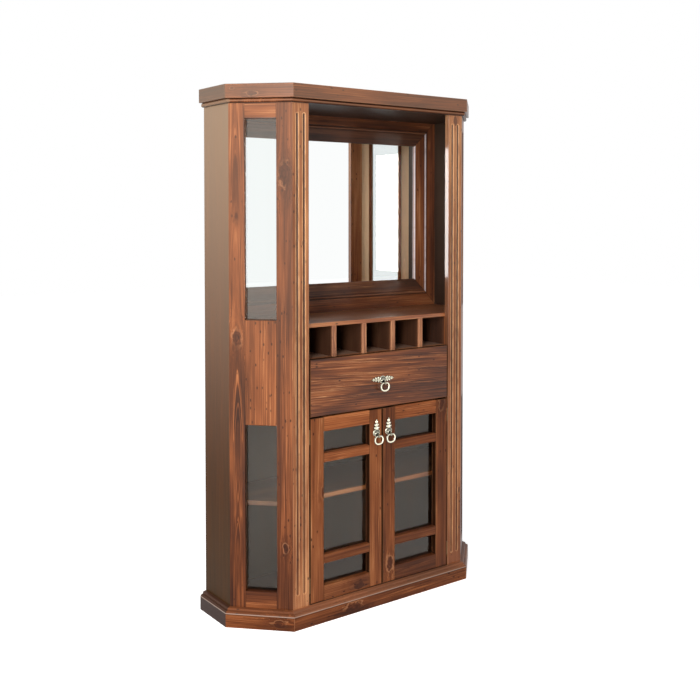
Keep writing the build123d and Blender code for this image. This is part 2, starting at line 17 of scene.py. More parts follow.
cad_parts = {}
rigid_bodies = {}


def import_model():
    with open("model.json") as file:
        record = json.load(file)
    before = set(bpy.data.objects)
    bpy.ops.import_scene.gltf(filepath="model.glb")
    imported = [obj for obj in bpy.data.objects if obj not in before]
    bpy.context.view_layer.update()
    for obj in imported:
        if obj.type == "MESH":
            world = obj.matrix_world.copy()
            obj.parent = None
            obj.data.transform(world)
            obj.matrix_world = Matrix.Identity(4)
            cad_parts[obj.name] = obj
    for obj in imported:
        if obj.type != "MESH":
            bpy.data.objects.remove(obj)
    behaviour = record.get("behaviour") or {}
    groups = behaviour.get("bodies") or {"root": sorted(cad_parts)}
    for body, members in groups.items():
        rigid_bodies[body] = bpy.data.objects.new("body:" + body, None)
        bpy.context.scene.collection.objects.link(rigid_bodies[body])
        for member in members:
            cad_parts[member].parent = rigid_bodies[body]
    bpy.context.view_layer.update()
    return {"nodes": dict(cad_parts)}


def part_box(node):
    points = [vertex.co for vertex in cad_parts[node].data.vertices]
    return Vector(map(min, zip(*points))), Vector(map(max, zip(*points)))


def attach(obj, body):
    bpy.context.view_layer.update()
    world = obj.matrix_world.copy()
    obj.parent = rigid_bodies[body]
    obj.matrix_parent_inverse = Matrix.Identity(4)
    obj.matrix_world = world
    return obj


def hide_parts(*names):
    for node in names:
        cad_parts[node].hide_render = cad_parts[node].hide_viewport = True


for leftover in list(bpy.data.objects):
    bpy.data.objects.remove(leftover)
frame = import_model()
nodes = frame["nodes"]
scene = bpy.context.scene

# %% [markdown]
# ## The camera
# The cabinet was photographed from its left, a little above the middle of its height, with an
# ordinary lens about three and a half metres away. The lens length is worked out from a focal
# distance in pixels, because that is what a perspective fit gives. The lens shift frames the
# cabinet lower in the picture without tilting its uprights.

# %% Place the camera
IMAGE_SIDE = 700
FOCAL_PIXELS = 947.815
CAMERA_PLACE = (-2.17696, -2.91367, 1.44983)
CAMERA_YAW = math.radians(36.3465)
CAMERA_PITCH = math.radians(1.6325)
LENS_AXIS_ROW = 241.08

camera_data = bpy.data.cameras.new("camera")
camera = bpy.data.objects.new("camera", camera_data)
scene.collection.objects.link(camera)
camera_data.sensor_width = 36
camera_data.lens = FOCAL_PIXELS / IMAGE_SIDE * camera_data.sensor_width
camera_data.shift_y = (LENS_AXIS_ROW - IMAGE_SIDE / 2) / IMAGE_SIDE
camera_data.clip_start = 0.05
camera.location = CAMERA_PLACE
camera.rotation_euler = (math.pi / 2 - CAMERA_PITCH, 0, -CAMERA_YAW)
scene.camera = camera
print("lens", round(camera_data.lens, 2), "shift", round(camera_data.shift_y, 4))

# %% [markdown]
# ## Writing materials in few lines
# A node material is a graph, and building one by hand takes many lines. This small class adds one
# node per call, joins its inputs and returns its output, so that a material reads like a formula.
# A number given for an input is set on the socket, and a socket given for it is linked.

# %% Sums on sockets
class Sums:
    """Adds nodes to one tree. Each call makes a node and returns one of its outputs."""

    def __init__(self, tree):
        self.tree = tree

    def feed(self, node, inputs):
        """Links each input that is given a socket, and sets each that is given a value."""
        for key, value in inputs.items():
            if isinstance(value, bpy.types.NodeSocket):
                self.tree.links.new(value, node.inputs[key])
            else:
                node.inputs[key].default_value = value

    def add(self, kind, inputs=None, output=0, **settings):
        node = self.tree.nodes.new(kind)
        for name, value in settings.items():
            setattr(node, name, value)
        self.feed(node, inputs or {})
        return node.outputs[output] if node.outputs else None

    def math(self, operation, *values):
        return self.add("ShaderNodeMath", dict(enumerate(values)), operation=operation)

    def plus(self, first, second):
        return self.math("ADD", first, second)

    def minus(self, first, second):
        return self.math("SUBTRACT", first, second)

    def times_plus(self, first, second, third):
        return self.math("MULTIPLY_ADD", first, second, third)

    def times(self, first, *others):
        for other in others:
            first = self.math("MULTIPLY", first, other)
        return first

    def most(self, first, *others):
        for other in others:
            first = self.math("MAXIMUM", first, other)
        return first

    def size(self, value):
        return self.math("ABSOLUTE", value)

    def step(self, value, low, high, start=0.0, end=1.0):
        """Goes smoothly from start at low to end at high."""
        return self.add("ShaderNodeMapRange", {0: value, 1: low, 2: high, 3: start, 4: end},
                        interpolation_type="SMOOTHSTEP")

    def bell(self, distance, width):
        """1 at distance 0, falling to nearly nothing at twice the width."""
        ratio = self.math("DIVIDE", distance, width)
        return self.math("EXPONENT", self.times(ratio, ratio, -1.0))


print("sums", [name for name in vars(Sums) if not name.startswith("_")])

# %% [markdown]
# ## Places and colours
# The same short calls serve for places, noise and colours. Colours are written as they read on a
# screen, 0 to 255, because that is how wood is matched, while Blender mixes linear light.
# One function turns the first into the second.

# %% Places, noise and colours
def srgb(red, green, blue):
    """A colour read off a screen, 0 to 255, as the linear colour that Blender mixes."""
    parts = (np.array([red, green, blue]) / 255).clip(0, 1)
    linear = np.where(parts <= 0.04045, parts / 12.92, ((parts + 0.055) / 1.055) ** 2.4)
    return (*linear.tolist(), 1.0)


class Wires(Sums):
    """Sums, and places, noise and colours as well."""

    def vector(self, operation, *values, output=0):
        return self.add("ShaderNodeVectorMath", dict(enumerate(values)), output,
                        operation=operation)

    def join(self, x, y, z):
        return self.add("ShaderNodeCombineXYZ", {0: x, 1: y, 2: z})

    def split(self, vector):
        return self.add("ShaderNodeSeparateXYZ", {0: vector}).node.outputs

    def length(self, first, second):
        return self.vector("LENGTH", self.join(first, second, 0.0), output=1)

    def place(self):
        """The point that gets a colour, in the object's own coordinates."""
        return self.add("ShaderNodeTexCoord", output="Object")

    def noise(self, vector, detail=2.0, roughness=0.5, output=0):
        return self.add("ShaderNodeTexNoise", {"Vector": vector, "Scale": 1.0, "Detail": detail,
                                               "Roughness": roughness}, output)

    def ramp(self, factor, stops):
        ramp = self.add("ShaderNodeValToRGB", {0: factor}).node
        elements = ramp.color_ramp.elements
        while len(elements) < len(stops):
            elements.new(0.5)
        for element, (place, colour) in zip(elements, stops):
            element.position, element.color = place, srgb(*colour)
        return ramp.outputs[0]

    def mix(self, factor, first, second, blend="MIX"):
        return self.add("ShaderNodeMix", {0: factor, 6: first, 7: second}, 2,
                        data_type="RGBA", blend_type=blend)

    def paint(self, colour, paint, *shares):
        """Moves a colour towards a paint by all the shares multiplied."""
        return self.mix(self.times(*shares), colour, srgb(*paint))

    def pick(self, factor, first, second):
        """first where factor is 0 and second where it is 1, for vectors."""
        return self.add("ShaderNodeMix", {0: factor, 4: first, 5: second}, 1, data_type="VECTOR")


def new_material(name, inputs):
    """A node material with one shader that gets the inputs, its wires, and the shader."""
    material = bpy.data.materials.new(name)
    material.use_nodes = True
    material.node_tree.nodes.clear()
    w = Wires(material.node_tree)
    shader = w.add("ShaderNodeBsdfPrincipled", inputs)
    w.add("ShaderNodeOutputMaterial", {0: shader})
    return material, w, shader.node


print("mid grey is", round(srgb(128, 128, 128)[0], 3))

# %% [markdown]
# ## The studio
# A white floor and a white world make the plain background. Both are full white only for what
# the camera, gloss and glass see. What the world sheds on the wood is less, so that the lamps can
# shape the cabinet. The floor shows the cabinet's soft shadow and nothing else.

# %% The world and the floor
WORLD_FILL = 0.30
FLOOR_REACH = 14.0
FLOOR_GLOW = 0.80
WHITE = (1, 1, 1, 1)


def seen_directly(w):
    """1 for rays of the camera, of gloss and of glass, and 0 for the light that falls on things."""
    path = w.add("ShaderNodeLightPath").node.outputs
    return w.most(path["Is Camera Ray"], path["Is Glossy Ray"], path["Is Transmission Ray"])


def make_world():
    world = bpy.data.worlds.new("white_studio")
    world.use_nodes = True
    world.node_tree.nodes.clear()
    w = Wires(world.node_tree)
    strength = w.times_plus(seen_directly(w), 1.0 - WORLD_FILL, WORLD_FILL)
    light = w.add("ShaderNodeBackground", {"Color": WHITE, "Strength": strength})
    w.add("ShaderNodeOutputWorld", {0: light})
    scene.world = world


def make_floor():
    """A wide square under the feet, diffuse, with a glow that only direct looks see."""
    signs = ((-1, -1), (1, -1), (1, 1), (-1, 1))
    mesh = bpy.data.meshes.new("studio_floor")
    mesh.from_pydata([(x * FLOOR_REACH, y * FLOOR_REACH, 0) for x, y in signs], [], [(0, 1, 2, 3)])
    floor = bpy.data.objects.new("studio_floor", mesh)
    scene.collection.objects.link(floor)
    material, w, shader = new_material("white_floor", {
        "Base Color": (0.8, 0.8, 0.8, 1), "Roughness": 1.0, "Specular IOR Level": 0.0,
        "Emission Color": WHITE})
    w.feed(shader, {"Emission Strength": w.times(seen_directly(w), FLOOR_GLOW)})
    mesh.materials.append(material)


make_world()
make_floor()
scene.view_settings.view_transform = "Standard"
print("world fill", WORLD_FILL, "floor glow", FLOOR_GLOW)

# %% [markdown]
# ## Three soft lamps
# Large area lamps give soft shadows and a slow fall of light down the boards. A tall, narrow key
# lamp stands at the left front, and it alone shows in gloss. A narrower one beside the cabinet
# lights its left, and a weak, wide one at the right front lifts the shadows.

# %% Lamps
LAMPS = {  # place, the point it faces, width and height, watts, and whether gloss shows it
    "side_light": ((-2.9, -0.65, 1.8), (-0.4, -0.1, 1.3), (0.5, 2.2), 38, False),
    "key_light": ((-3.15, -2.85, 2.0), (0, 0, 1.25), (0.8, 2.8), 116, True),
    "room_light": ((1.2, -4.4, 2.8), (0, 0, 1.0), (2.4, 1.8), 15, False)}
for name, (place, aim, side, watts, shiny) in LAMPS.items():
    lamp = bpy.data.lights.new(name, "AREA")
    lamp.shape = "RECTANGLE"
    lamp.size, lamp.size_y = side
    lamp.energy = watts
    holder = bpy.data.objects.new(name, lamp)
    holder.location = place
    holder.visible_camera = False
    holder.visible_glossy = shiny
    holder.rotation_euler = (Vector(aim) - Vector(place)).to_track_quat("-Z", "Y").to_euler()
    scene.collection.objects.link(holder)
print("watts", {name: values[3] for name, values in LAMPS.items()})

# %% [markdown]
# ## Stained pine
# Pine is a pack of cones and rings round the heart of the tree. A board sawn a little off the
# tree's axis cuts those rings in long arches, and one sawn through it shows straight stripes. So
# the figure here isn't painted: each board gets a place in a tree, as the line where the heart
# runs past it and how far it leans, and the distance from that line is the ring. Noise bends the
# rings, and knots push them aside.
#
# The same recipe serves every board, so it is one node group. It works in board coordinates:
# along the grain, across the face, and into the thickness, all in metres.

# %% Rings that wander, and knots
KNOT_NAMES = ("Knot 1", "Knot 2")


def wandering(w, board, grain_noise):
    """Board coordinates after a slow bend of several millimetres and then a fine wobble."""
    bent = board
    for waves, reach in (((1.3, 8, 8), 0.012), ((9, 45, 45), 0.0010)):
        off = w.vector("SUBTRACT", grain_noise(waves, output=1), (0.5, 0.5, 0.5))
        bent = w.vector("MULTIPLY_ADD", off, (0, reach, reach), bent)
    return w.split(bent)


def round_knots(w, given, along, across, ragged):
    """Each knot pulls the sampled place towards its own middle, so the lines part and go round
    it. Returns the pulled place, how far a point is in a core and in a halo, and its distance
    from the nearest knot in knot radii."""
    core, halo, far = 0.0, 0.0, None
    for name in KNOT_NAMES:
        knot_along, knot_across, knot_size = w.split(given[name])
        off_across = w.minus(across, knot_across)
        off_along = w.times(w.minus(along, knot_along), 0.52)
        radii = w.math("DIVIDE", w.length(off_along, off_across), w.most(knot_size, 0.0001))
        radii = w.times(radii, w.step(ragged, 0.2, 0.8, 0.72, 1.3))
        pull = w.bell(radii, 2.0)
        across = w.minus(across, w.times(off_across, pull, 0.9))
        core = w.most(core, w.step(radii, 1.05, 0.72))
        halo = w.most(halo, pull)
        far = radii if far is None else w.math("MINIMUM", far, radii)
    return across, core, halo, far


def ring_distance(w, given, along, across, depth):
    """The distance from the heart's line, which leans away along the board."""
    heart, lean = w.split(given["Heart"]), w.split(given["Lean"])
    off = [w.minus(w.minus(part, heart[axis]), w.times(lean[axis], along))
           for axis, part in ((1, across), (2, depth))]
    return w.length(*off)


print("knots to a board, at most", len(KNOT_NAMES))

# %% [markdown]
# ## Stain, wear, marks and painted light
# Stain soaks in unevenly. A knot takes it in dark rings, and a small dent holds a drop of it. The
# narrow faces that look into the gaps between parts are painted dark, as the shade in the gaps,
# and their margins as stain at the joints. The edges are painted pale, as rubbed wood and as the
# highlight that an edge catches. All of these depend on where a point lies on its board, so each
# is a function of board coordinates.

# %% Knots, dents and edges
KNOT_STAIN = [(0.0, (38, 18, 10)), (0.5, (78, 38, 21)), (1.0, (138, 78, 44))]
# The pale edge colour paints rubbed wood and also stands in for the highlight on an edge. The
# near-black colour is painted shade in the gaps between parts, and stain at the joints.
PALE_RUB_AND_HIGHLIGHT, DENT_STAIN, GAP_SHADE_AND_JOINT_STAIN = (196, 134, 92), (44, 22, 14), (24, 11, 7)
RUB_WIDTH = 0.0022


def knot_stain(w, colour, core, far, ragged, blotch):
    """Dark rings fill a knot, and its rim is pale here and there."""
    rings = w.math("SINE", w.times(far, 13.0))
    level = w.times_plus(rings, 0.12, w.times_plus(ragged, 1.1, -0.15))
    colour = w.mix(w.times(core, 0.75), colour, w.ramp(level, KNOT_STAIN))
    rim = w.bell(w.minus(far, 1.15), 0.16)
    return w.paint(colour, PALE_RUB_AND_HIGHLIGHT, rim, w.step(blotch, 0.42, 0.6), 0.55)


def dented(w, given, board, shift):
    """1 in a dent: a small lens-shaped mark, kept by a chance per cell."""
    place = w.vector("MULTIPLY_ADD", board, (40, 85, 85), shift)
    cells = w.add("ShaderNodeTexVoronoi", {"Vector": place, "Scale": 1.0}).node.outputs
    kept = w.math("GREATER_THAN", given["Dents"], w.split(cells["Color"])[0])
    return w.times(kept, w.step(cells["Distance"], 0.30, 0.14))


def edges(w, given, board, blotch):
    """How pale and how dark a point is painted. Two faces meet where two board coordinates are both
    near their half size: that edge is painted pale, as rubbed wood and as its highlight. The narrow
    faces, which look into the gaps between parts, are painted dark as the shade in the gaps, and
    their margins as stain at the joints."""
    reach = w.split(w.vector("SUBTRACT", given["Half"], w.vector("ABSOLUTE", board)))
    near = [w.step(part, RUB_WIDTH, 0.0004) for part in reach]
    corners = [w.times(near[a], near[b]) for a, b in ((0, 1), (1, 2), (0, 2))]
    rubbed_and_lit = w.times(w.most(*corners), w.step(blotch, 0.30, 0.62, 0.25, 0.85))
    narrow = w.times(w.most(near[0], near[1]), w.step(near[2], 1.0, 0.0))
    margins = [w.step(part, 0.0021, 0.0012) for part in reach[:2]]
    stain_and_shade = w.times(w.most(narrow, *margins), given["Gap Shade And Stain"])
    return w.times(rubbed_and_lit, w.times_plus(given["Gap Shade And Stain"], -0.6, 1.0)), stain_and_shade


print("edges are rubbed over", RUB_WIDTH, "m")

# %% [markdown]
# ## The whole recipe
# Broad streaks and thin late-wood lines follow the rings, fibres follow the grain, and blotches
# follow neither. Their sum is one number, the level of the stain, and a ramp turns it into brown.
# The same textures also give the gloss and a very low relief, so that light and colour agree.

# %% The recipe for a pine board
STAIN = [(0.0, (46, 22, 12)), (0.3, (92, 47, 23)), (0.55, (139, 77, 41)), (0.8, (178, 111, 66)),
         (1.0, (216, 154, 104))]
RINGS_PER_METRE = 130.0
GROUP_SOCKETS = {
    ("INPUT", "Vector"): ("Board", "Heart", "Lean", *KNOT_NAMES, "Half", "Fade"),
    ("INPUT", "Float"): ("Seed", "Tone", "Contrast", "Gap Shade And Stain", "Dents"),
    ("OUTPUT", "Color"): ("Color",),
    ("OUTPUT", "Float"): ("Roughness", "Height", "Polish")}


def make_pine_group():
    group = bpy.data.node_groups.new("stained_pine", "ShaderNodeTree")
    for (way, kind), names in GROUP_SOCKETS.items():
        for name in names:
            group.interface.new_socket(name=name, in_out=way, socket_type="NodeSocket" + kind)
    w = Wires(group)
    given = group.nodes.new("NodeGroupInput").outputs
    board, seed = given["Board"], given["Seed"]
    shift = w.vector("MULTIPLY", (1.7, 3.1, 5.3), w.join(seed, seed, seed))

    def grain_noise(waves, **settings):
        """Noise stretched to so many waves a metre along, across and into the board."""
        return w.noise(w.vector("MULTIPLY_ADD", board, waves, shift), **settings)

    along, across, depth = wandering(w, board, grain_noise)
    ragged = grain_noise((60, 95, 95))
    across, core, halo, far = round_knots(w, given, along, across, ragged)
    ring = ring_distance(w, given, along, across, depth)

    def streaks(per_metre, along_rate, offset, **settings):
        """Noise that follows the rings and changes slowly along the board."""
        place = w.join(w.times(ring, per_metre), w.times(along, along_rate), w.plus(seed, offset))
        return w.noise(place, **settings)

    broad = streaks(110, 0.9, 0.0, detail=3.0, roughness=0.7)
    thin = streaks(430, 3.0, 9.0, detail=3.0, roughness=0.6)
    strong = w.step(streaks(45, 1.2, 21.0), 0.42, 0.62)
    fibre = grain_noise((6, 620, 620))
    blotch = grain_noise((2.4, 13, 13), detail=4.0)
    phase = w.math("FRACT", w.times_plus(ring, RINGS_PER_METRE, w.times(broad, 7.0)))
    late_wood = w.times(w.step(phase, 0.55, 0.85), w.step(phase, 1.0, 0.9))

    spread = w.times(w.minus(broad, 0.5), 0.5)
    spread = w.times_plus(w.minus(thin, 0.5), 0.6, spread)
    spread = w.times_plus(w.minus(blotch, 0.5), 0.85, spread)
    spread = w.times_plus(w.times(late_wood, strong), 0.34, spread)
    level = w.times_plus(spread, given["Contrast"], 0.46)
    level = w.times_plus(w.minus(fibre, 0.5), 0.36, level)
    # A tone that rises along the board: painted light, lighter towards the top.
    level = w.plus(level, w.vector("DOT_PRODUCT", board, given["Fade"], output=1))
    level = w.minus(w.plus(level, given["Tone"]), w.times(halo, 0.14))

    dent = dented(w, given, board, shift)
    rubbed_and_lit, stain_and_shade = edges(w, given, board, blotch)
    colour = knot_stain(w, w.ramp(level, STAIN), core, far, ragged, blotch)
    colour = w.paint(colour, DENT_STAIN, dent, 0.8)
    colour = w.paint(w.paint(colour, GAP_SHADE_AND_JOINT_STAIN, stain_and_shade), PALE_RUB_AND_HIGHLIGHT, rubbed_and_lit)
    gloss = w.times_plus(fibre, 0.08, w.times_plus(blotch, 0.16, 0.27))
    height = w.times_plus(thin, 0.3, w.times_plus(late_wood, 0.25, w.times(fibre, 0.22)))
    w.add("NodeGroupOutput", {"Color": colour, "Roughness": w.times_plus(rubbed_and_lit, 0.12, gloss),
                              "Height": w.minus(height, dent), "Polish": w.minus(1.0, stain_and_shade)})
    return group


pine_group = make_pine_group()
print("pine recipe nodes", len(pine_group.nodes))

# %% [markdown]
# ## Which way each board runs
# A joiner turns the grain along each member: upright in stiles, pilasters and dividers, level in
# rails, shelves, cornice and plinth, and along the canted face on the cut corners. A Mapping node
# turns the cabinet's coordinates into a board's own, with its middle at the origin. Wide panels
# are glued from narrow staves, so their across coordinate wraps round at each glue line and every
# stave gets its own piece of tree.

# %% Board coordinates
ROOT_HALF = math.sqrt(0.5)
UP, RIGHT, BACK = Vector((0, 0, 1)), Vector((1, 0, 0)), Vector((0, 1, 0))
CANT = {"left": Vector((-ROOT_HALF, ROOT_HALF, 0)), "right": Vector((ROOT_HALF, ROOT_HALF, 0))}


def board_frame(grain, across, centre):
    """The turn and shift of a Mapping node that takes a place to board coordinates."""
    turn = Matrix((grain, across, grain.cross(across)))
    return turn.to_euler("XYZ"), -(turn @ Vector(centre))


def mapped(w, place, grain, across, centre):
    turn, shift = board_frame(grain, across, centre)
    return w.add("ShaderNodeMapping", {"Vector": place, "Location": shift, "Rotation": turn},
                 vector_type="POINT")


def glued(w, board, axis, width, seed, tone, start):
    """Wraps one coordinate at each glue line. Each stave gets its own seed, a tone that goes up
    and down with its number, and the number itself."""
    parts = list(w.split(board))
    number = w.math("ROUND", w.math("DIVIDE", parts[axis], width))
    parts[axis] = w.minus(parts[axis], w.times(number, width))
    tone = w.times_plus(w.math("SINE", w.times_plus(number, 12.99, start)), 0.05, tone)
    return w.join(*parts), w.times_plus(number, 5.9, seed), tone, number


print("grain on the left cant runs", [round(part, 3) for part in CANT["left"]])

# %% [markdown]
# ## One material for each board
# Every board has its own place in its own tree, drawn at random but seeded with the board's name,
# so no two boards are alike and every run gives the same cabinet. Some nodes hold boards in two
# directions, met at a mitre. They pick one of two sets of coordinates by a test on the place, and
# nodes that hold a left and a right board are folded about the middle.

# %% Pine on one node
ENDLESS = 9


def pine_material(name, grain, across, centre, half=(ENDLESS, ENDLESS, ENDLESS), knots=(),
                  staves=None, layers=None, second=None, split=None, folded=False, heart=None,
                  lean=None, tone=0.0, contrast=1.0, fade=(0, 0, 0), edge_stain=0.0,
                  second_tone=0.0, sheen=0.12, gloss=0.06, dents=0.08):
    """Stained pine for one node of the cabinet. second and split give a second grain direction
    where the weights times the board coordinates pass the limit. folded mirrors left and right."""
    chance = random.Random(name)
    material, w, shader = new_material(
        "pine_" + name, {"Specular IOR Level": sheen, "Coat Roughness": 0.12})
    place = w.place()
    seed = chance.uniform(0, 50)
    if folded:
        x, y, z = w.split(place)
        place = w.join(w.size(x), y, z)
        seed = w.times_plus(w.math("GREATER_THAN", x, 0.0), 7.3, seed)
    board = mapped(w, place, grain, across, centre)
    if second:
        weights, limit, absolute = split
        tested = w.vector("ABSOLUTE", board) if absolute else board
        other = w.math("GREATER_THAN", w.vector("DOT_PRODUCT", tested, weights, output=1), limit)
        board = w.pick(other, board, mapped(w, place, *second))
        seed = w.times_plus(other, 3.7, seed)
        tone = w.times_plus(other, second_tone, tone)
    stave = None
    for axis, width in ((1, staves), (2, layers)):
        if width:
            board, seed, tone, number = glued(
                w, board, axis, width, seed, tone, chance.uniform(0, 6))
            stave = number if axis == 1 else stave

    # fade is a painted light rise: the tone grows lighter along the board.
    inputs = {"Board": board, "Seed": seed, "Tone": tone, "Contrast": contrast, "Half": half,
              "Fade": fade, "Gap Shade And Stain": edge_stain, "Dents": dents}
    turn, shift = board_frame(grain, across, centre)
    for name, (spot, size) in zip(KNOT_NAMES, knots):
        at = turn.to_matrix() @ Vector(spot) + shift
        if stave is not None:
            own = round(at.y / staves)
            at.y -= own * staves
            size = w.times(w.math("COMPARE", stave, own, 0.5), size)
        inputs[name] = w.join(at.x, at.y, size)
    rift = [chance.choice((-1, 1)) * chance.uniform(low, high)
            for low, high in ((0.05, 0.12), (0.02, 0.05))]
    straight = [chance.uniform(low, high) for low, high in ((-0.006, 0.006), (0.004, 0.012))]
    inputs |= {"Heart": (0, *(heart or rift)), "Lean": (0, *(lean or straight))}

    pine = w.add("ShaderNodeGroup", inputs, node_tree=pine_group).node.outputs
    bump = w.add("ShaderNodeBump", {"Height": pine["Height"], "Strength": 0.35,
                                    "Distance": 0.0005})
    w.feed(shader, {"Base Color": pine["Color"], "Roughness": pine["Roughness"], "Normal": bump,
                    "Specular IOR Level": w.times(pine["Polish"], sheen),
                    "Coat Weight": w.times(pine["Polish"], gloss)})
    return material


print("a board takes", sum(len(GROUP_SOCKETS["INPUT", kind]) for kind in ("Vector", "Float")),
      "inputs")

# %% [markdown]
# ## Later changes of colour
# Most changes paint light and shade after the recipe: painted sheen, glare, highlights and
# reflections, painted shade, and a moulding's painted bright and dark lines, besides rubbed wear.
# Each of these is one more step after the recipe, so it is kept apart as a change: a function that
# gets the wires, the colour so far and the place. Most are a fade along one axis, a line at one
# height, or a thin wash over everything, and three small functions write those.

# %% Changes, and boards with their changes
X, Y, Z = 0, 1, 2


def faded(axis, start, end, share, paint):
    """A paint that grows from nothing at start to its share at end, along one axis. Left and
    right of the middle count alike."""
    def change(w, colour, place):
        along = w.size(place[X]) if axis == X else place[axis]
        return w.paint(colour, paint, w.step(along, start, end, 0.0, share))
    return change


def lined(height, width, share, paint):
    """A soft level line."""
    def change(w, colour, place):
        return w.paint(colour, paint, w.bell(w.minus(place[Z], height), width), share)
    return change


def washed(share, paint):
    """A thin even coat."""
    return lambda w, colour, place: w.paint(colour, paint, share)


def shader_of(material):
    return next(node for node in material.node_tree.nodes if node.type == "BSDF_PRINCIPLED")


def rework(material, change, channel="Base Color"):
    """Passes one channel of a finished material through one more step."""
    w, shader = Wires(material.node_tree), shader_of(material)
    before = shader.inputs[channel].links[0].from_socket
    w.feed(shader, {channel: change(w, before, w.split(w.place()))})


def dress(node, material):
    """Puts the material into every slot of a node that is carried over from CAD."""
    for slot in nodes[node].material_slots:
        slot.material = material


def middle(node):
    low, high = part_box(node)
    return (low + high) / 2, (high - low) / 2


def board(node, grain, across, *changes, centre=None, **extra):
    """Pine with its changes, put on one node. The middle is its box's, unless one is given."""
    centre = middle(node)[0] if centre is None else centre
    material = pine_material(node, grain, across, centre, **extra)
    for change in changes:
        rework(material, change)
    dress(node, material)
    return material


def plain_board(node, grain, across, *changes, **extra):
    """One straight board, or a glued panel, with its half sizes taken from its box as well."""
    half = middle(node)[1]
    axes = (grain, across, grain.cross(across))
    sizes = [abs(Vector(half).dot(Vector(map(abs, axis)))) for axis in axes]
    return board(node, grain, across, *changes, half=sizes, **extra)


print("the drawer front is", [round(2 * part, 4) for part in middle("drawer_front")[1]])

# %% [markdown]
# ## The fluted pilasters
# Two flutes are cut into each pilaster. Their hollows are painted dark, as stain that has run
# into them and as the shade in them, and their edges and round ends are painted pale, as rubbed
# wood and as the highlight they catch. The flutes are real hollows in the CAD mesh, and the paint
# has to follow them, so it is a function of the distance from a flute's middle line: sideways
# beside it, and radial past its ends. Higher up the pilasters get a painted glare, and their tone
# rises upwards as painted light. The inner faces, towards the niche, have the thickest lacquer.

# %% Pilasters
FLUTE_PLACES = (0.348, 0.376)
FLUTE_HALF = 0.0055
FLUTE_ENDS = (0.118, 1.7955)
PILASTER_FRONT = (-0.1500, -0.1520)
PILASTER_INNER = 0.328
# The dark flute colour is stain and painted shade; the pale one is rubbed wood and painted
# highlight.
FLUTE_STAIN_AND_SHADE, FLUTE_RUB_AND_HIGHLIGHT = (58, 29, 16), (244, 184, 128)
PILASTER_KNOTS = {"left": [((-0.3531, -0.159, 1.3491), 0.006), ((-0.35, -0.159, 0.71), 0.004)],
                  "right": [((0.3605, -0.159, 1.8141), 0.010), ((0.388, -0.159, 0.3543), 0.006)]}
# The rise per metre is painted light: each pilaster's tone grows lighter upwards.
PILASTER_TONES = {"left": (0.20, 0.06), "right": (0.15, 0.18)}  # tone, and its rise per metre
LACQUER_INDEX = 1.9
# A pale grey paint that grows with height: a painted glare on the upper parts.
painted_upper_glare = faded(Z, 0.1, 2.0, 0.11, (204, 170, 146))


def flute_wear_and_painted_light(w, colour, place):
    """Stain and painted shade within a flute's half width, and a rubbed, patchy pale line just
    outside it that is also a painted highlight.
    """
    x, y, z = place
    in_front = w.step(y, *PILASTER_FRONT)
    beside = w.math("MINIMUM", *(w.size(w.minus(w.size(x), at)) for at in FLUTE_PLACES))
    low, high = FLUTE_ENDS
    past_end = w.minus(w.size(w.minus(z, (low + high) / 2)), (high - low) / 2)
    off = w.length(beside, w.most(past_end, 0.0))
    patchy = w.noise(w.join(w.times(x, 160.0), 0.0, w.times(z, 22.0)), detail=3.0)
    stain_and_shade = w.step(off, FLUTE_HALF, FLUTE_HALF - 0.002, 0.0, 0.92)
    colour = w.paint(colour, FLUTE_STAIN_AND_SHADE, in_front, stain_and_shade, w.step(z, 0.1, 0.9, 0.6, 1.0))
    worn_and_highlit = w.bell(w.minus(off, FLUTE_HALF + 0.0008), 0.0017)
    return w.paint(colour, FLUTE_RUB_AND_HIGHLIGHT, worn_and_highlit, w.step(patchy, 0.3, 0.6, 0.35, 1.0),
                   w.step(z, 0.1, 1.5, 0.5, 1.0), in_front)


def pilaster_gloss(w, gloss, place):
    return w.step(w.size(place[X]), PILASTER_INNER + 0.001, PILASTER_INNER + 0.0002, 0.12, 0.55)


for side, (tone, rise) in PILASTER_TONES.items():
    material = plain_board(f"{side}_pilaster", UP, RIGHT, flute_wear_and_painted_light, painted_upper_glare, tone=tone,
                           knots=PILASTER_KNOTS[side], contrast=1.2, fade=(rise, 0, 0),
                           edge_stain=0.5, dents=0.25)
    rework(material, pilaster_gloss, "Coat Weight")
    shader_of(material).inputs["Coat IOR"].default_value = LACQUER_INDEX
print("flutes at", FLUTE_PLACES, "half width", FLUTE_HALF)

# %% [markdown]
# ## The side panels
# The upper half of the sides is painted grey-brown, a painted reflection of a bright room.
# Lower down they are painted a darker olive, and their inner faces are painted dark, as the shade
# inside the niche and the cupboards. The tone also rises upwards, as painted light. One material
# has to cover the whole panel, because it is one board, so three fades share the work, and a
# fourth makes the polish thinner towards the floor.

# %% Side panels
SIDE_OUTER = 0.5575
# Painted: a darker olive towards the floor, a grey-brown painted reflection rising to the top, and
# painted shade on the inner face.
SIDE_SHEEN_AND_SHADE = (faded(Z, 1.6, 0.1, 0.5, (70, 52, 26)), faded(Z, 0.4, 2.2, 0.95, (150, 124, 97)),
              faded(X, SIDE_OUTER - 0.004, SIDE_OUTER - 0.008, 0.85, (37, 26, 23)))


def side_sheen(w, sheen, place):
    return w.step(place[Z], 0.4, 2.2, 0.02, 0.42)


for side in CANT:
    material = plain_board(f"{side}_side_panel", UP, BACK, *SIDE_SHEEN_AND_SHADE, staves=0.09, tone=-0.22,
                           contrast=0.35, fade=(0.16, 0, 0))
    rework(material, side_sheen, "Specular IOR Level")
print("side panels with", len(SIDE_SHEEN_AND_SHADE), "fades of colour")

# %% [markdown]
# ## The canted corners
# Each cut corner is a frame of two stiles and two rails round a solid panel and two lights. The
# back stile is flat sawn and shows tall arches, so its heart lies close behind its face. The
# faces turned to the mirror are painted paler than the outside, as painted light. All canted
# boards get the painted glare higher up, and their tone rises upwards as painted light.

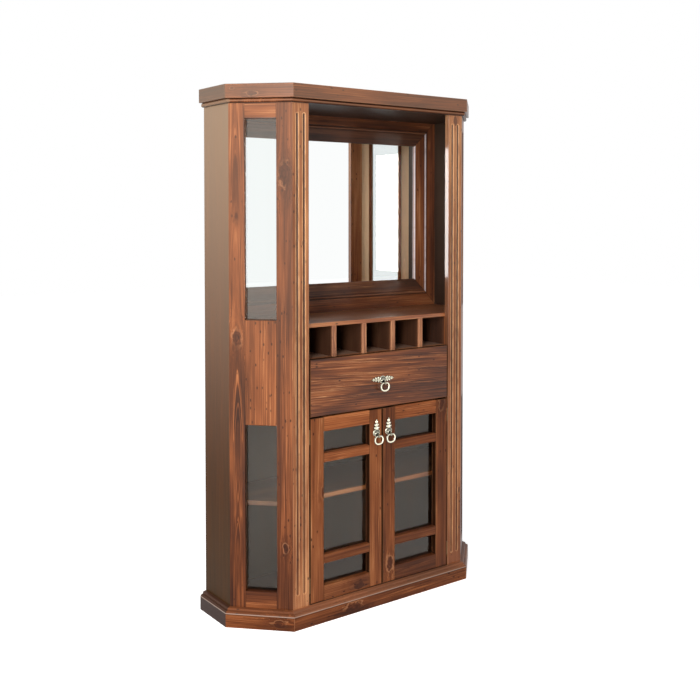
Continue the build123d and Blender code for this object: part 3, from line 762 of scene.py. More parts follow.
# %% Canted boards
CANT_INNER_PLANE = 0.3740
STILE_HALF, OPENING_HALF = 0.0285, 0.0565
CANT_KNOTS = {"left_cant_back_stile": [((-0.5373, -0.0186, 1.0166), 0.015),
                                       ((-0.5373, -0.0186, 1.4431), 0.006)],
              "left_cant_front_stile": [((-0.4164, -0.1394, 1.5881), 0.019),
                                        ((-0.4157, -0.1401, 0.2818), 0.009)]}
CANT_BOARDS = {
    "cant_back_stile": (STILE_HALF, dict(tone=-0.095, fade=(0.17, 0, 0), contrast=1.4, dents=0.10,
                                         heart=(0.002, 0.036), lean=(0.004, 0.016))),
    "cant_front_stile": (STILE_HALF, dict(tone=-0.135, fade=(0.1, 0, 0), contrast=1.05,
                                          dents=0.28)),
    "cant_panel": (OPENING_HALF, dict(fade=(0.06, 0, 0), dents=0.42, edge_stain=0.55))}


# Painted light: the faces turned to the mirror are painted paler.
def painted_cant_inside_light(w, colour, place):
    depth = w.times(w.minus(w.size(place[X]), place[Y]), ROOT_HALF)
    inside = w.step(depth, CANT_INNER_PLANE + 0.001, CANT_INNER_PLANE, 0.0, 0.68)
    return w.paint(colour, (255, 218, 174), inside)


for side, along in CANT.items():
    for name, (width, looks) in CANT_BOARDS.items():
        node = f"{side}_{name}"
        board(node, UP, along, painted_upper_glare, painted_cant_inside_light, half=(middle(node)[1].z, width, 0.02),
              knots=CANT_KNOTS.get(node, ()), **looks)
    board(f"{side}_cant_rails", along, UP, painted_upper_glare, half=(OPENING_HALF, ENDLESS, ENDLESS),
          tone=-0.06, fade=(0, 0.13, 0), edge_stain=0.5, contrast=1.1)
print("canted boards", list(CANT_BOARDS))

# %% [markdown]
# ## The doors
# A door is two stiles, rails between them, thin glazing bars, and beads behind that hold the
# glass. The rails are one node, so they are cut apart like staves, and each gets its own tree.
# The rails and glazing bars are painted darker low down and lighter high up, as painted shade
# and light, and the left door is painted paler than the right, as the light falls off across the
# front.

# %% Doors
# The left door's higher tone is painted light, which falls off towards the right door.
DOOR_TONE_BY_LIGHT = {"left": 0.05, "right": -0.13}
DOOR_KNOTS = {"left_door_outer_stile": [((-0.2671, -0.159, 0.4562), 0.010)],
              "right_door_inner_stile": [((0.0355, -0.159, 0.1375), 0.014)],
              "right_door_outer_stile": [((0.2965, -0.159, 0.7098), 0.012)],
              "left_door_rails": [((-0.1088, -0.159, 0.0858), 0.013)]}
BEAD_WIDTH = 0.0075


# Painted shade on the low rails and painted light on the high ones.
def rail_shade(w, colour, place):
    shade = w.step(place[Z], 0.05, 0.75, 0.80, 1.36)
    return w.mix(1.0, colour, w.join(shade, shade, shade), blend="MULTIPLY")


for side, tone in DOOR_TONE_BY_LIGHT.items():
    for name in ("door_inner_stile", "door_outer_stile"):
        node = f"{side}_{name}"
        plain_board(node, UP, RIGHT, knots=DOOR_KNOTS.get(node, ()), edge_stain=0.95, tone=tone)
    for name, pitch in (("door_rails", 0.3), ("door_muntins", 0.18)):
        node = f"{side}_{name}"
        board(node, RIGHT, UP, rail_shade, half=(middle(node)[1].x, ENDLESS, ENDLESS),
              staves=pitch, contrast=0.9, knots=DOOR_KNOTS.get(node, ()), tone=tone,
              edge_stain=0.4)
    node = f"{side}_door_beads"
    centre, half = middle(node)
    board(node, RIGHT, UP, second=(UP, RIGHT, centre),
          split=((1, 0, 0), half.x - BEAD_WIDTH, True), tone=-0.2)
print("door tones", DOOR_TONE_BY_LIGHT)

# %% [markdown]
# ## Drawer front, shelves and floors
# The drawer front has the boldest stripes of the cabinet. The heart of its tree lies far to one
# side of the board and leans, so the stripes run a little uphill. On every shelf the front edge
# keeps its tone, while the wood behind it is painted dark, as painted shade deeper in; the rack's
# floor gets a pale painted sheen instead. One change keeps the first few millimetres and paints
# the rest.

# %% Drawer front and shelves
# The dark colour is painted shade behind the front edges; the pale grey one is a painted sheen on
# the rack's floor.
BEHIND_EDGE_SHADE, PAINTED_FLOOR_SHEEN = (56, 43, 37), (150, 128, 114)
EDGE_KEPT, SHORT_FADE = 0.002, 0.012
SHELVES = (  # node, tone, share of the paint behind, sheen, how far it fades in, paint
    ("display_shelf", 0.13, 0.45, 0.6, SHORT_FADE, BEHIND_EDGE_SHADE),
    ("rack_floor", 0.28, 0.7, 1.0, 0.03, PAINTED_FLOOR_SHEEN),
    ("cupboard_shelf", 0.2, 0.75, 0.1, SHORT_FADE, BEHIND_EDGE_SHADE),
    ("cupboard_floor", -0.25, 0.5, 0.1, SHORT_FADE, BEHIND_EDGE_SHADE),
    ("drawer_deck", -0.5, 0.5, 0.0, SHORT_FADE, BEHIND_EDGE_SHADE))


# Paints the wood behind a front edge with painted shade, and the rack floor with painted sheen.
def shade_and_sheen_behind_edge(node, share, fade=SHORT_FADE, paint=BEHIND_EDGE_SHADE):
    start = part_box(node)[0].y + EDGE_KEPT
    return faded(Y, start, start + fade, share, paint)


plain_board("drawer_front", RIGHT, UP, heart=(0.17, 0.03), lean=(-0.045, 0.004), contrast=1.55,
            tone=-0.11, sheen=0.35, edge_stain=0.95)
for node, tone, share, sheen, fade, paint in SHELVES:
    plain_board(node, RIGHT, BACK, shade_and_sheen_behind_edge(node, share, fade, paint), staves=0.105, tone=tone,
                sheen=sheen)
print("shelves", [row[0] for row in SHELVES])

# %% [markdown]
# ## The rack's dividers and the drawer's bay
# Four dividers stand at one pitch in one node, so the coordinate into their thickness wraps round
# at that pitch. A thin pale wash lightens them, and behind their front edges they are painted dark,
# as painted shade inside the holes. The two uprights beside the drawer are one node as well,
# folded about the middle, and get the same painted shade behind their front edges.

# %% Dividers and bay sides
DIVIDER_PITCH, DIVIDER_HALF = 0.1361, 0.00875
BAY_SIDE_MIDDLE = 0.3405

centre, half = middle("rack_dividers")
# The dark paint behind the front edges is painted shade inside the holes.
board("rack_dividers", UP, BACK, washed(0.2, (194, 158, 140)),
      shade_and_sheen_behind_edge("rack_dividers", 0.92, paint=(64, 40, 27)),
      centre=(DIVIDER_PITCH / 2, centre.y, centre.z), half=(half.z, half.y, DIVIDER_HALF),
      layers=DIVIDER_PITCH, tone=0.10, contrast=1.1)
centre = middle("drawer_bay_sides")[0]
board("drawer_bay_sides", UP, BACK, shade_and_sheen_behind_edge("drawer_bay_sides", 0.8),
      centre=(BAY_SIDE_MIDDLE, centre.y, centre.z), folded=True, contrast=0.7)
print("divider pitch", DIVIDER_PITCH)

# %% [markdown]
# ## Top, back and hidden boards
# The top board's rounded edge has a painted highlight along its middle and a painted grey sheen
# at the sides. Painted shade darkens it just under the fascia and on its underside. The back panel
# is painted a dark olive brown on the side that faces the cupboard, as the shade inside it.

# %% Top, back and hidden boards
BACK_INNER = 0.1761
NOSE_HEIGHT, NOSE_ABOVE, NOSE_BELOW = 1.8432, (1.8482, 1.8500), (1.8380, 1.8363)

# Painted highlight along the middle of the nose, painted grey sheen on the sides, and painted shade
# above and below the nose.
plain_board("top_board", RIGHT, BACK, lined(NOSE_HEIGHT, 0.0026, 0.6, (178, 128, 98)),
            faded(X, SIDE_OUTER, SIDE_OUTER + 0.003, 0.6, (140, 118, 96)),
            faded(Z, *NOSE_ABOVE, 0.85, (50, 43, 38)), faded(Z, *NOSE_BELOW, 0.85, (50, 43, 38)),
            staves=0.1, tone=-0.16, sheen=0.08)
# Painted shade: the face towards the cupboard is painted dark olive brown.
plain_board("back_panel", UP, RIGHT,
            faded(Y, BACK_INNER + 0.0015, BACK_INNER + 0.0005, 0.75, (50, 46, 38)),
            staves=0.18, tone=-0.15, contrast=0.6, sheen=0.05)
plain_board("base_rails", RIGHT, UP, layers=0.3, tone=-0.45)
plain_board("shelf_bearers", RIGHT, UP, layers=0.2, tone=-0.2)
print("top board's nose at", NOSE_HEIGHT)

# %% [markdown]
# ## Cornice and plinth
# The cornice and the plinth turn two corners on each side. In one node the grain has to change
# direction exactly at the mitre, so the material tests on which side of the mitre plane a place
# lies. The shoulder of the plinth's moulding has a painted highlight line over a painted shade
# line, and the moulding above it a painted sheen. The cornice has a thin painted grey sheen all
# over, and its side boards a stronger one, like the panels under them.

# %% Cornice and plinth
CORNER_X, CORNER_Y = 0.5575, 0.00165
MITRE_TEST = ((0.9239, 0, -0.3827), 0.0, False)
# A painted grey sheen: thin all over, stronger on the side boards.
CORNICE_PAINTED_SHEEN = (washed(0.25, (150, 122, 98)),
                  faded(X, SIDE_OUTER + 0.016, SIDE_OUTER + 0.0195, 0.7, (104, 87, 70)))


def plinth_painted_sheen(w, colour, place):
    """Painted sheen: the moulding above the shoulder is painted paler, most of all in front."""
    in_front = w.step(w.size(place[X]), 0.404, 0.400, 0.1, 0.3)
    return w.paint(colour, (176, 126, 98), w.step(place[Z], 0.0480, 0.0500), in_front)


# A painted highlight line on the shoulder and a painted shade line under it.
PLINTH_PAINTED_LIGHT_LINES = (plinth_painted_sheen, lined(0.0487, 0.0014, 0.6, (206, 184, 168)),
                lined(0.0460, 0.0013, 0.6, (52, 29, 19)))


def returns(node, height, *changes, **extra):
    """The canted and side boards of a moulding; coordinates are folded about the middle."""
    corner = (CORNER_X, CORNER_Y, height)
    board(node, CANT["right"], UP, *changes, centre=corner, folded=True,
          second=(BACK, UP, corner), split=MITRE_TEST, **extra)


plain_board("cornice_front", RIGHT, UP, *CORNICE_PAINTED_SHEEN, contrast=0.9, tone=-0.03, sheen=0.45)
returns("cornice_returns", 1.8755, *CORNICE_PAINTED_SHEEN, tone=-0.06, sheen=0.35,
        knots=[((0.5104, -0.074, 1.8663), 0.009), ((0.5581, -0.0264, 1.8848), 0.004)])
plain_board("plinth_front", RIGHT, UP, *PLINTH_PAINTED_LIGHT_LINES, tone=-0.1, sheen=0.08, dents=0.2,
            knots=[((-0.1489, -0.182, 0.0237), 0.018)])
returns("plinth_returns", 0.033, *PLINTH_PAINTED_LIGHT_LINES, tone=-0.1, second_tone=-0.5, sheen=0.08,
        dents=0.2, knots=[((0.444, -0.1448, 0.0236), 0.012)])
print("mitre test", MITRE_TEST[0])

# %% [markdown]
# ## The mirror's frame
# Four mitred members carry a moulding: a slope, a bead between two quirks, and a lip at the glass.
# The hollows are in the mesh, and the paint has to follow them, so every line lies at a fixed
# distance from the opening. A thin grey-brown wash over the frame stands for the cool light in
# the niche's shade. The slopes of the level members get painted shade, and both quirks are painted
# dark as the shade in them. The upright beads and lips get a painted white highlight and
# reflection, and the level beads a paler brown painted highlight. Each mitre is a thin dark line.

# %% Mirror frame and the beads of the canted lights
MIRROR_HALF, MIRROR_HEIGHT = (0.428, 0.2805), 1.4555
BEAD_OFFSET, QUIRK_OFFSET = 0.0565, 0.0066
SLOPE_EDGE, LIP_EDGE, LIP_FACE = (0.050, 0.046), (0.0052, 0.0042), (0.1708, 0.1696)
CANT_BEAD_CENTRE = (0.4773, -0.0595, 0.95)


def frame_lines(w, colour, place):
    """aside and above are how far a place lies outside the opening, to the side and in height.
    The larger is its offset, and where they are equal is the mitre."""
    x, y, z = place
    aside = w.minus(w.size(x), MIRROR_HALF[0])
    above = w.minus(w.size(w.minus(z, MIRROR_HEIGHT)), MIRROR_HALF[1])
    offset, mitre = w.most(aside, above), w.minus(aside, above)
    upright = w.math("GREATER_THAN", mitre, 0.0)
    broken = w.noise(w.join(0.0, 0.0, w.times(z, 30.0)), detail=3.0)
    # Painted light: a cool grey-brown wash for the shade in the niche.
    colour = w.paint(colour, (92, 72, 64), 0.2)
    # Painted shade on the slopes of the level members.
    slope_shade = w.step(offset, *SLOPE_EDGE, 0.0, 0.5)
    colour = w.paint(colour, (66, 50, 42), slope_shade, w.minus(1.0, upright))
    off = w.minus(offset, BEAD_OFFSET)
    # Painted shade in the quirks beside the bead.
    quirk_shade = w.bell(w.minus(w.size(off), QUIRK_OFFSET), 0.0017)
    colour = w.paint(colour, (26, 15, 11), quirk_shade, 0.9)
    # A painted highlight on the bead: near white on the uprights, pale brown on the level members.
    share = w.plus(w.times(upright, w.step(broken, 0.25, 0.55, -0.1, 0.3)), 0.65)
    rubbed_and_lit = w.mix(upright, srgb(128, 90, 70), srgb(244, 232, 236))
    colour = w.mix(w.times(w.bell(off, 0.0036), share), colour, rubbed_and_lit)
    # A painted reflection on the upright lips.
    lip = w.times(w.step(offset, *LIP_EDGE), upright, w.step(broken, 0.25, 0.5, 0.6, 0.9))
    colour = w.paint(colour, (240, 228, 228), lip, w.step(y, *LIP_FACE))
    return w.paint(colour, (28, 16, 12), w.bell(mitre, 0.0012), 0.8)


frame_centre = (0, middle("mirror_frame")[0].y, MIRROR_HEIGHT)
board("mirror_frame", RIGHT, UP, frame_lines, centre=frame_centre,
      second=(UP, RIGHT, frame_centre), split=((1, -1, 0), MIRROR_HALF[0] - MIRROR_HALF[1], True),
      staves=0.62, contrast=1.3, tone=-0.11, second_tone=0.06, gloss=0.2)
board("cant_glass_beads", CANT["right"], UP, centre=CANT_BEAD_CENTRE, folded=True, tone=-0.12,
      second=(UP, CANT["right"], CANT_BEAD_CENTRE), split=((1, 0, 0), OPENING_HALF, True))
print("mirror opening", [2 * part for part in MIRROR_HALF])

# %% [markdown]
# ## The pale wood inside
# The drawer's box and its runners never get stain: they are bare sanded pine, cream with soft
# orange rings. The recipe is the same, so the board's stain colours are swapped by passing the
# group's brown through a ramp from its brightness to pale wood.

# %% Bare pine
BARE = [(0.0, (150, 105, 62)), (0.12, (196, 152, 100)), (0.3, (222, 186, 136)),
        (1.0, (238, 210, 166))]
DRAWER_SIDE = 0.0145


def bared(w, colour, place):
    return w.ramp(w.add("ShaderNodeRGBToBW", {0: colour}), BARE)


bare = dict(contrast=0.7, gloss=0.0)
centre, half = middle("drawer_box")
board("drawer_bottom", RIGHT, BACK, bared, staves=0.3, **bare)
board("drawer_box", RIGHT, UP, bared, second=(BACK, UP, centre),
      split=((1, 0, 0), half.x - DRAWER_SIDE, True), **bare)
board("drawer_runners", BACK, UP, bared, layers=0.6, **bare)
print("bare pine from", BARE[0][1], "to", BARE[-1][1])

# %% [markdown]
# ## Glass and the mirror
# The panes are clear float glass, a little green in their thickness. A white studio gives them
# the faint milky reflection that real panes have over a dark cupboard. The upper panes reflect
# more of it, so the index rises between the lower and the upper lights. The mirror is silvered on
# its back, so it is a metal surface with almost no roughness, a touch cooler than the light.

# %% Clear glass and silvered glass
PANES = ("cant_glass_panes", "left_door_glass", "right_door_glass")
BETWEEN_LIGHTS = (0.95, 1.0)


def glass_material():
    material, w, shader = new_material("clear_float_glass", {
        "Base Color": (0.93, 0.96, 0.95, 1), "Transmission Weight": 1.0, "IOR": 1.5,
        "Specular Tint": (1.0, 0.90, 0.80, 1)})
    place = w.place()
    smear = w.noise(w.vector("MULTIPLY", place, (14, 14, 5)), detail=3.0)
    w.feed(shader, {"IOR": w.step(w.split(place)[Z], *BETWEEN_LIGHTS, 1.36, 1.94),
                    "Roughness": w.step(smear, 0.55, 0.8, 0.0, 0.03)})
    return material


def mirror_material():
    material, w, shader = new_material("silvered_glass", {
        "Base Color": (0.965, 0.98, 0.975, 1), "Metallic": 1.0})
    haze = w.noise(w.vector("MULTIPLY", w.place(), (6, 6, 6)), detail=4.0)
    w.feed(shader, {"Roughness": w.step(haze, 0.5, 0.9, 0.004, 0.03)})
    return material


clear_glass = glass_material()
for node in PANES:
    dress(node, clear_glass)
dress("mirror_glass", mirror_material())
print("panes", PANES)

# %% [markdown]
# ## Metals and plastic
# The pulls are cast brass that was darkened and then wiped: bright on what stands proud, nearly
# black in the hollows. The hollows follow each piece's own relief, so the pulls carry a mesh
# attribute that says how far a point stands proud. The hinges and catch plates are plain
# hardware, and their patches come from noise alone.

# %% Brass, steel and plastic
PLAIN_LEVEL = 0.62
PATCHES, SCRATCHES = (380, 380, 380), (900, 900, 2600)
HARDWARE_NODES = {"bronzed_steel": ("hinge_frame_leaves", "hinge_pins", "left_door_hinge_leaves",
                                    "right_door_hinge_leaves"),
                  "plated_steel": ("left_door_strike", "right_door_strike"),
                  "brown_plastic": ("magnetic_catch",)}


def metal_material(name, bright, dull, roughness, relief=False, grime=0.5, metallic=1.0):
    material, w, shader = new_material(name, {"Metallic": metallic})
    place = w.place()
    patches = w.noise(w.vector("MULTIPLY", place, PATCHES), detail=4.0, roughness=0.65)
    scratches = w.noise(w.vector("MULTIPLY", place, SCRATCHES))
    proud = PLAIN_LEVEL
    if relief:
        proud = w.add("ShaderNodeAttribute", attribute_name="relief", output=2)
    level = w.times_plus(w.minus(patches, 0.5), grime, proud)
    between = [(a + 2 * b) / 3 for a, b in zip(dull, bright)]
    rough = w.step(level, 0.1, 0.7, roughness + 0.3, roughness)
    height = w.times_plus(scratches, 0.4, patches)
    bump = w.add("ShaderNodeBump", {"Height": height, "Strength": 0.25, "Distance": 0.0002})
    w.feed(shader, {"Base Color": w.ramp(level, [(0.12, dull), (0.5, between), (0.8, bright)]),
                    "Roughness": w.times_plus(scratches, 0.12, rough), "Normal": bump})
    return material


HARDWARE = {name: metal_material(name, *looks, **extra) for name, looks, extra in (
    ("antique_brass", ((249, 244, 220), (18, 17, 16), 0.18), dict(relief=True)),
    ("bronzed_steel", ((120, 92, 62), (52, 38, 26), 0.34), {}),
    ("plated_steel", ((205, 206, 204), (120, 120, 118), 0.22), dict(grime=0.3)),
    ("brown_plastic", ((74, 46, 30), (52, 32, 22), 0.4), dict(grime=0.3, metallic=0.0)))}
for name, dressed in HARDWARE_NODES.items():
    for node in dressed:
        dress(node, HARDWARE[name])
print("hardware", list(HARDWARE))

# %% [markdown]
# ## Meshes from formulas
# Every new piece is a surface on a grid: two parameters run over the grid, and formulas give the
# point for each pair. One helper turns such an array of points into a mesh, and another gathers
# several surfaces into one object. A surface that closes on itself shares its seam points, and
# a row that shrinks to a point is merged, so each part is a closed skin.

# %% Grid surfaces into one piece
def grid_faces(rows, columns, close_rows, close_columns):
    """Corner numbers of each face of a grid, as whole arrays."""
    r = np.arange(rows if close_rows else rows - 1)[:, None]
    c = np.arange(columns if close_columns else columns - 1)[None, :]
    r_next, c_next = (r + 1) % rows, (c + 1) % columns
    corners = [row * columns + column
               for row, column in ((r, c), (r, c_next), (r_next, c_next), (r_next, c))]
    return np.stack(np.broadcast_arrays(*corners), axis=-1).reshape(-1, 4)


def clean_mesh(mesh):
    """Merges points that coincide, drops faces without area, turns faces outwards, smooths."""
    work = bmesh.new()
    work.from_mesh(mesh)
    bmesh.ops.remove_doubles(work, verts=work.verts, dist=0.000004)
    bmesh.ops.dissolve_degenerate(work, edges=work.edges, dist=0.000002)
    bmesh.ops.recalc_face_normals(work, faces=work.faces)
    work.to_mesh(mesh)
    work.free()
    mesh.polygons.foreach_set("use_smooth", np.ones(len(mesh.polygons), bool))


def make_piece(name, surfaces, slot, body, replaced=()):
    """Joins surfaces, each (points, close rows, close columns, relief), into one riding piece."""
    points, faces, relief, count = [], [], [], 0
    for grid, close_rows, close_columns, proud in surfaces:
        rows, columns = grid.shape[:2]
        faces.append(grid_faces(rows, columns, close_rows, close_columns) + count)
        points.append(grid.reshape(-1, 3))
        relief.append(np.broadcast_to(proud, (rows, columns)).reshape(-1))
        count += rows * columns
    mesh = bpy.data.meshes.new(name)
    mesh.from_pydata(np.concatenate(points), [], np.concatenate(faces).tolist())
    held = mesh.attributes.new("relief", "FLOAT", "POINT")
    held.data.foreach_set("value", np.concatenate(relief).astype(np.float32))
    clean_mesh(mesh)
    mesh.materials.append(HARDWARE[slot])
    piece = bpy.data.objects.new(name, mesh)
    scene.collection.objects.link(piece)
    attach(piece, body)
    if replaced:
        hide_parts(*replaced)


def turns(count):
    """Angles round a full turn."""
    return np.linspace(0, 2 * np.pi, count, endpoint=False)


def squared(wave, power):
    """The size of a wave to a power below 1, with its sign: it makes a round shape squarer."""
    return np.sign(wave) * np.abs(wave) ** power


print("a closed 3 by 4 grid has", len(grid_faces(3, 4, True, True)), "faces")

# %% [markdown]
# ## The ring of a pull
# The ring is cast wire, thinner where it hangs through its eye and thicker at the bottom, with a
# dip at the top that gives it a heart-like shape. It is a round section carried along a closed
# path: a slightly squared ellipse with a smooth bell subtracted from its top.

# %% The rings
RING_HALF_WIDTH = 0.0184
RING_CENTRE_DROP = 0.0122
RING_HALF_HEIGHT = 0.0156
RING_DIP = 0.0040
WIRE_TOP, WIRE_SWELL = 0.0020, 0.0014
PIVOT_DEPTH = -0.17485
PULL_SIDE, DOOR_PIVOT, DRAWER_PIVOT = 0.0285, 0.628, 0.823
PULLS = {"left_door": ("left_ring", -PULL_SIDE, DOOR_PIVOT),
         "right_door": ("right_ring", PULL_SIDE, DOOR_PIVOT),
         "drawer": ("drawer_ring", 0.0, DRAWER_PIVOT)}


def ring_skin(centre_x, pivot_z):
    """Round section along a closed path. Path: x and z are the half sizes times the sine and the
    cosine of the turn, each to the power 0.9, less a bell-shaped dip at the top. The wire is thin
    enough at the top to hang free in its eye, and thickens quickly below it."""
    turn, around = turns(112)[:, None], turns(20)
    x = RING_HALF_WIDTH * squared(np.sin(turn), 0.9)
    dip = RING_DIP * np.exp(-(x / 0.0062) ** 2) * np.clip(np.cos(turn) * 2, 0, 1)
    z = RING_HALF_HEIGHT * squared(np.cos(turn), 0.9) - RING_CENTRE_DROP - dip
    step_x, step_z = (np.roll(part, -1, axis=0) - np.roll(part, 1, axis=0) for part in (x, z))
    wire = WIRE_TOP + WIRE_SWELL * np.clip(1 - np.cos(turn), 0, 1) ** 0.6
    outwards = wire * np.cos(around) / np.hypot(step_x, step_z)
    points = [x + step_z * outwards + centre_x, wire * np.sin(around) + PIVOT_DEPTH,
              z - step_x * outwards + pivot_z]
    proud = 0.62 + 0.30 * np.cos(around) - 0.22 * np.sin(around)
    return np.stack(points, axis=-1), True, True, proud


for body, (ring_body, centre_x, pivot_z) in PULLS.items():
    make_piece(f"{body}_pull_ring", [ring_skin(centre_x, pivot_z)], "antique_brass", ring_body,
               [f"{body}_ring"])
print("rings ride on", [row[0] for row in PULLS.values()])

# %% [markdown]
# ## The leaves of a backplate
# Each door has an upright plate: a leaf with a toothed outline over a round cup, with the eye of
# the ring below. The drawer's plate has the same cup in the middle and a leaf to each side. A
# leaf is a height field over its own outline: pillowed, with a raised mid-rib and slanting veins.
# Its front sheet and its flat back are one closed loop of columns.

# %% Leaves
WOOD_FACE = -0.15885
PLATE_EDGE = 0.0009
LEAF_RISE = 0.0034


def leaf_skin(start, end, half_width, lobes, upright, offset):
    """A leaf over a line from start to end. Its half width is an envelope, widest near the foot and
    pointed at the tip, cut back in a sawtooth, so that pairs of spikes point towards the tip.
    Its height is a pillow across with a raised mid-rib and slanting furrows between the lobes."""
    along, u = np.linspace(0, 1, 120)[:, None], np.linspace(-1, 1, 49)
    envelope = np.clip(0.8 * along + 0.86, 0, 1) * (1 - along ** 1.8) ** 0.7
    tooth = (lobes * along) % 1.0
    outline = 1 - 0.62 * (1 - tooth) ** 1.3 * np.clip((1 - along) / 0.12, 0, 1)
    furrow = np.abs(np.sin(np.pi * (lobes * along - 0.55 * np.abs(u))))
    relief = (1 - np.abs(u) ** 6) * (0.15 + 0.85 * furrow ** 0.6)
    relief = relief * (1 - 0.75 * np.exp(-((np.abs(u) - 0.2) / 0.07) ** 2))
    relief = np.maximum(relief, 0.9 * np.exp(-(u / 0.10) ** 2))
    height = PLATE_EDGE + LEAF_RISE * relief * (1 - 0.4 * along)
    proud = np.clip(3.2 * relief - 1.15, -0.5, 1)
    sheet = (start + (end - start) * along + 0 * u, u * half_width * envelope * outline)
    run, cross = (np.concatenate([part, part[:, ::-1]], axis=1) for part in sheet)
    lift, proud = (np.concatenate([part, 0 * part], axis=1) for part in (height, proud))
    order = [cross, WOOD_FACE - lift, run] if upright else [run, WOOD_FACE - lift, cross]
    return np.stack(order, axis=-1) + np.array(offset), False, True, proud


print("a leaf stands", round(PLATE_EDGE + LEAF_RISE, 4), "m off the wood")

# %% [markdown]
# ## Cup, eye and neck
# The cup, its base and the eye are round, so they are profiles turned about an axis, and the
# cup's height is a function over its disc. The cup has an oval mouth that the ring falls into. A
# short neck joins the eye to the cup: a round bar with a row at each end that shrinks to a point.

# %% Cups, eyes and necks
CUP_RISE, BASE_RIM = 0.0062, 0.0018


def turned_skin(radius, height, centre, axis, closed, proud, stretch=(1.0, 1.0), sides=40):
    """A profile of radius and height turned about an axis, 'y' towards the viewer or 'x'."""
    turn = turns(sides)
    a = radius[:, None] * np.cos(turn) * stretch[0]
    b = radius[:, None] * np.sin(turn) * stretch[1]
    h = height[:, None] + 0 * a
    offsets = [a, -h, b] if axis == "y" else [h, a, b]
    return np.stack(offsets, axis=-1) + np.array(centre), closed, True, proud


def cup_skin(centre_x, cup_z, radius):
    """A hooded cup over a disc. Height over the distance from its middle: a dome, then a raised
    rim near the edge. An oval mouth below the middle is sunk to the plate and has a raised lip."""
    far, turn = np.linspace(0, 1, 46)[:, None], turns(72)
    x, z = radius * far * np.cos(turn), 0.95 * radius * far * np.sin(turn)
    dome = np.clip(1 - (far / 0.86) ** 2, 0, 1) ** 0.6
    rim = np.exp(-((far - 0.89) / 0.055) ** 2)
    mouth_far = np.hypot(x / 0.0068, (z + 0.0058) / 0.0056)
    mouth = 1 / (1 + np.exp((mouth_far - 1) * 16))
    lip = np.exp(-((mouth_far - 1.22) / 0.13) ** 2) * np.clip(z / 0.003 + 2.6, 0, 1)
    lift = 0.0020 + (CUP_RISE * dome + 0.0016 * rim) * (1 - 0.93 * mouth) + 0.0011 * lip
    lift = lift * np.clip((1 - far) / 0.05, 0, 1) ** 0.5
    proud = np.clip((0.42 * dome + rim + 0.9 * lip) * (1 - mouth) - 0.9 * mouth, -0.9, 1)
    return np.stack([centre_x + x, WOOD_FACE - lift, cup_z + z], axis=-1), False, True, proud


def neck_skin(centre_x, cup_z, pivot_z):
    """A round bar along a straight path, whose radius grows with the square of the way."""
    way, turn = np.linspace(0, 1, 16)[:, None], turns(24)
    tip = np.array([centre_x, PIVOT_DEPTH + 0.0049, pivot_z + 0.0026])
    root = np.array([centre_x, WOOD_FACE - 0.0012, cup_z - 0.002])
    path = (tip + (root - tip) * way)[:, None]
    circle = np.stack([np.cos(turn), 0 * turn, np.sin(turn)], axis=-1)
    bar = path + (0.0022 + 0.0004 * way ** 2)[:, None] * circle
    caps = [np.broadcast_to(path[end], (1, 24, 3)) for end in (0, -1)]
    return np.concatenate([caps[0], bar, caps[1]]), False, True, -0.25


def plate_skins(centre_x, cup_z, pivot_z, cup_radius, leaves):
    """All the skins of one backplate: its leaves, cup, base, eye and neck."""
    turn = turns(24)
    base_radius = np.array([0.0, 1.0, 1.0, 0.985, 0.9, 0.0]) * (cup_radius + BASE_RIM)
    base_height = np.array([0.0, 0.0, 0.0009, 0.0016, 0.0022, 0.0022])
    base_proud = np.array([0, 0, 0.5, 0.7, 0.4, 0.1])[:, None]
    eye_radius = 0.00435 + 0.00115 * squared(np.cos(turn), 0.7)
    eye_height = 0.0032 * squared(np.sin(turn), 0.7)
    return [*(leaf_skin(*leaf) for leaf in leaves), cup_skin(centre_x, cup_z, cup_radius),
            turned_skin(base_radius, base_height, (centre_x, WOOD_FACE, cup_z), "y", False,
                        base_proud, stretch=(1.0, 0.86)),
            turned_skin(eye_radius, eye_height, (centre_x, PIVOT_DEPTH, pivot_z + 0.0005), "x",
                        True, 0.45),
            neck_skin(centre_x, cup_z, pivot_z)]


print("a cup stands", CUP_RISE, "m high")

# %% [markdown]
# ## The three backplates
# The two door plates are alike, with one upright leaf each. The drawer's plate has two leaves
# that lie down, mirrored by the sign of their ends. Each plate is one piece with all its skins,
# as the cast one is, and takes the place of the plain CAD plate.

# %% Backplates
DOOR_CUP, DRAWER_CUP = (0.6400, 0.0146), (0.8352, 0.0150)  # height of the middle, radius
DOOR_LEAF, DRAWER_LEAF = (0.6490, 0.6900, 0.0160), (0.0110, 0.0520, 0.0128)
DRAWER_LEAF_HEIGHT = 0.8375
LOBES = 3.6

cup_z, radius = DOOR_CUP
for side, x in (("left", -PULL_SIDE), ("right", PULL_SIDE)):
    leaves = [(*DOOR_LEAF, LOBES, True, (x, 0, 0))]
    make_piece(f"{side}_door_pull_plate", plate_skins(x, cup_z, DOOR_PIVOT, radius, leaves),
               "antique_brass", f"{side}_door", [f"{side}_door_backplate"])
cup_z, radius = DRAWER_CUP
foot, tip, half_width = DRAWER_LEAF
leaves = [(sign * foot, sign * tip, half_width, LOBES, False, (0, 0, DRAWER_LEAF_HEIGHT))
          for sign in (1, -1)]
make_piece("drawer_pull_plate", plate_skins(0.0, cup_z, DRAWER_PIVOT, radius, leaves),
           "antique_brass", "drawer", ["drawer_backplate"])

# %% [markdown]
# ## Small fasteners
# Each hinge leaf is held by three countersunk screws with a cross slot, and each backplate by two
# round-headed pins. The catch has four steel pole plates in its plastic case. A head is a height
# over a disc, so one function serves screws and pins, and a pole plate is a squared-off ball.

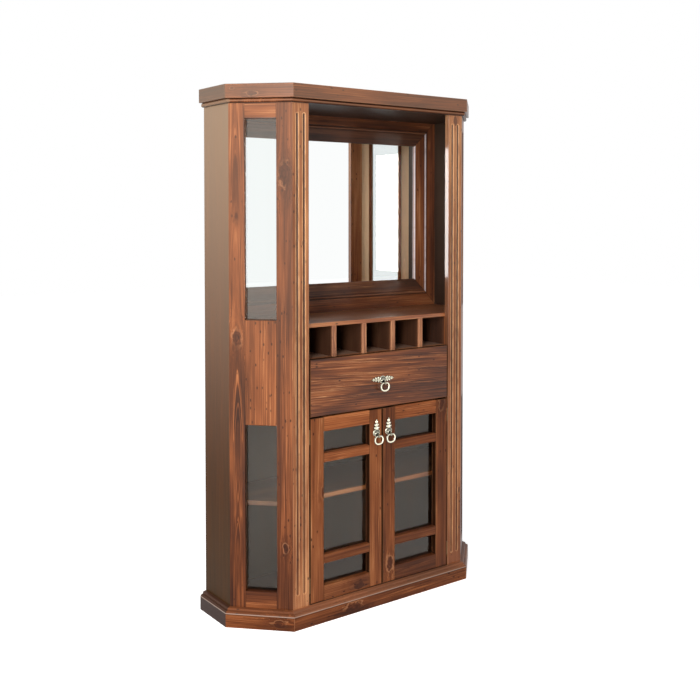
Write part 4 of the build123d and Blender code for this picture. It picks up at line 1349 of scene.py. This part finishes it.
# %% Heads and pole plates
def head_skin(centre, size, outwards, slot=False):
    """A round head. Height over the distance from its middle: a dome that falls to nothing at the
    rim, and for a screw a cross of two grooves. outwards is 'x', '-x' or '-y'."""
    radius, rise = size
    far, turn = np.linspace(0, 1, 22)[:, None], turns(48)
    a, b = radius * far * np.cos(turn), radius * far * np.sin(turn)
    lift = rise * (1 - far ** 4) + 0 * turn
    relief = 0.75 - 0.5 * far ** 6 + 0 * turn
    if slot:
        narrow = np.minimum(np.abs(a), np.abs(b)) / radius
        groove = np.clip((0.17 - narrow) / 0.06, 0, 1) * np.clip((0.72 - far) / 0.1, 0, 1)
        lift, relief = lift * (1 - 0.85 * groove), relief - 1.1 * groove
    offsets = {"x": (lift, a, b), "-x": (-lift, a, b), "-y": (a, -lift, b)}[outwards]
    return np.stack(offsets, axis=-1) + np.array(centre), False, True, relief


def pole_skin(centre, half):
    """A squared-off ball: each coordinate is its half size times a power of sines and cosines."""
    up, turn = np.linspace(-np.pi / 2, np.pi / 2, 25)[:, None], turns(48)
    level = squared(np.cos(up), 0.25)
    points = [half[0] * level * squared(np.cos(turn), 0.25),
              half[1] * level * squared(np.sin(turn), 0.25),
              half[2] * squared(np.sin(up), 0.25) + 0 * turn]
    return np.stack(points, axis=-1) + np.array(centre), False, True, 0.5


print("a head has", head_skin((0, 0, 0), (1, 1), "x")[0][..., 0].size, "points")

# %% [markdown]
# ## Screws, pins and poles in place
# The screws of a leaf don't stand in one line: the middle one is set to the side, so that the
# wood between them doesn't split. Frame leaves and door leaves face each other, so their screws
# look in opposite directions. Heads that ride together are one piece.

# %% Screws, pins and pole plates
SCREW, PIN = (0.0026, 0.0004), (0.0014, 0.0012)  # radius, rise
HINGE_MIDDLES, HINGE_DEPTH = (0.1335, 0.6625), -0.1461
SCREW_PLACES = [(HINGE_DEPTH + sway, hinge + off) for hinge in HINGE_MIDDLES
                for off, sway in ((-0.018, 0.002), (0.0, -0.002), (0.018, 0.002))]
FRAME_LEAF_FACE, DOOR_LEAF_FACE = 0.3270, 0.3235
PIN_DEPTH = WOOD_FACE - 0.0016
DOOR_PINS, DRAWER_PINS = (0.6842, 0.6274), 0.0455
POLE_SIDES, POLE_HALF = (-0.0175, -0.0105, 0.0105, 0.0175), (0.0008, 0.0011, 0.0048)
POLE_DEPTH, POLE_HEIGHT = -0.1344, 0.7055


def screws(x, outwards):
    return [head_skin((x, *place), SCREW, outwards, slot=True) for place in SCREW_PLACES]


make_piece("frame_hinge_screws", screws(-FRAME_LEAF_FACE, "x") + screws(FRAME_LEAF_FACE, "-x"),
           "bronzed_steel", "carcass")
for side, sign, outwards in (("left", -1, "-x"), ("right", 1, "x")):
    make_piece(f"{side}_door_hinge_screws", screws(sign * DOOR_LEAF_FACE, outwards),
               "bronzed_steel", f"{side}_door")
    pins = [head_skin((sign * PULL_SIDE, PIN_DEPTH, z), PIN, "-y") for z in DOOR_PINS]
    make_piece(f"{side}_door_pull_pins", pins, "antique_brass", f"{side}_door")
pins = [head_skin((x, PIN_DEPTH, DRAWER_LEAF_HEIGHT), PIN, "-y")
        for x in (-DRAWER_PINS, DRAWER_PINS)]
make_piece("drawer_pull_pins", pins, "antique_brass", "drawer")
poles = [pole_skin((x, POLE_DEPTH, POLE_HEIGHT), POLE_HALF) for x in POLE_SIDES]
make_piece("catch_pole_plates", poles, "plated_steel", "carcass")

# %% [markdown]
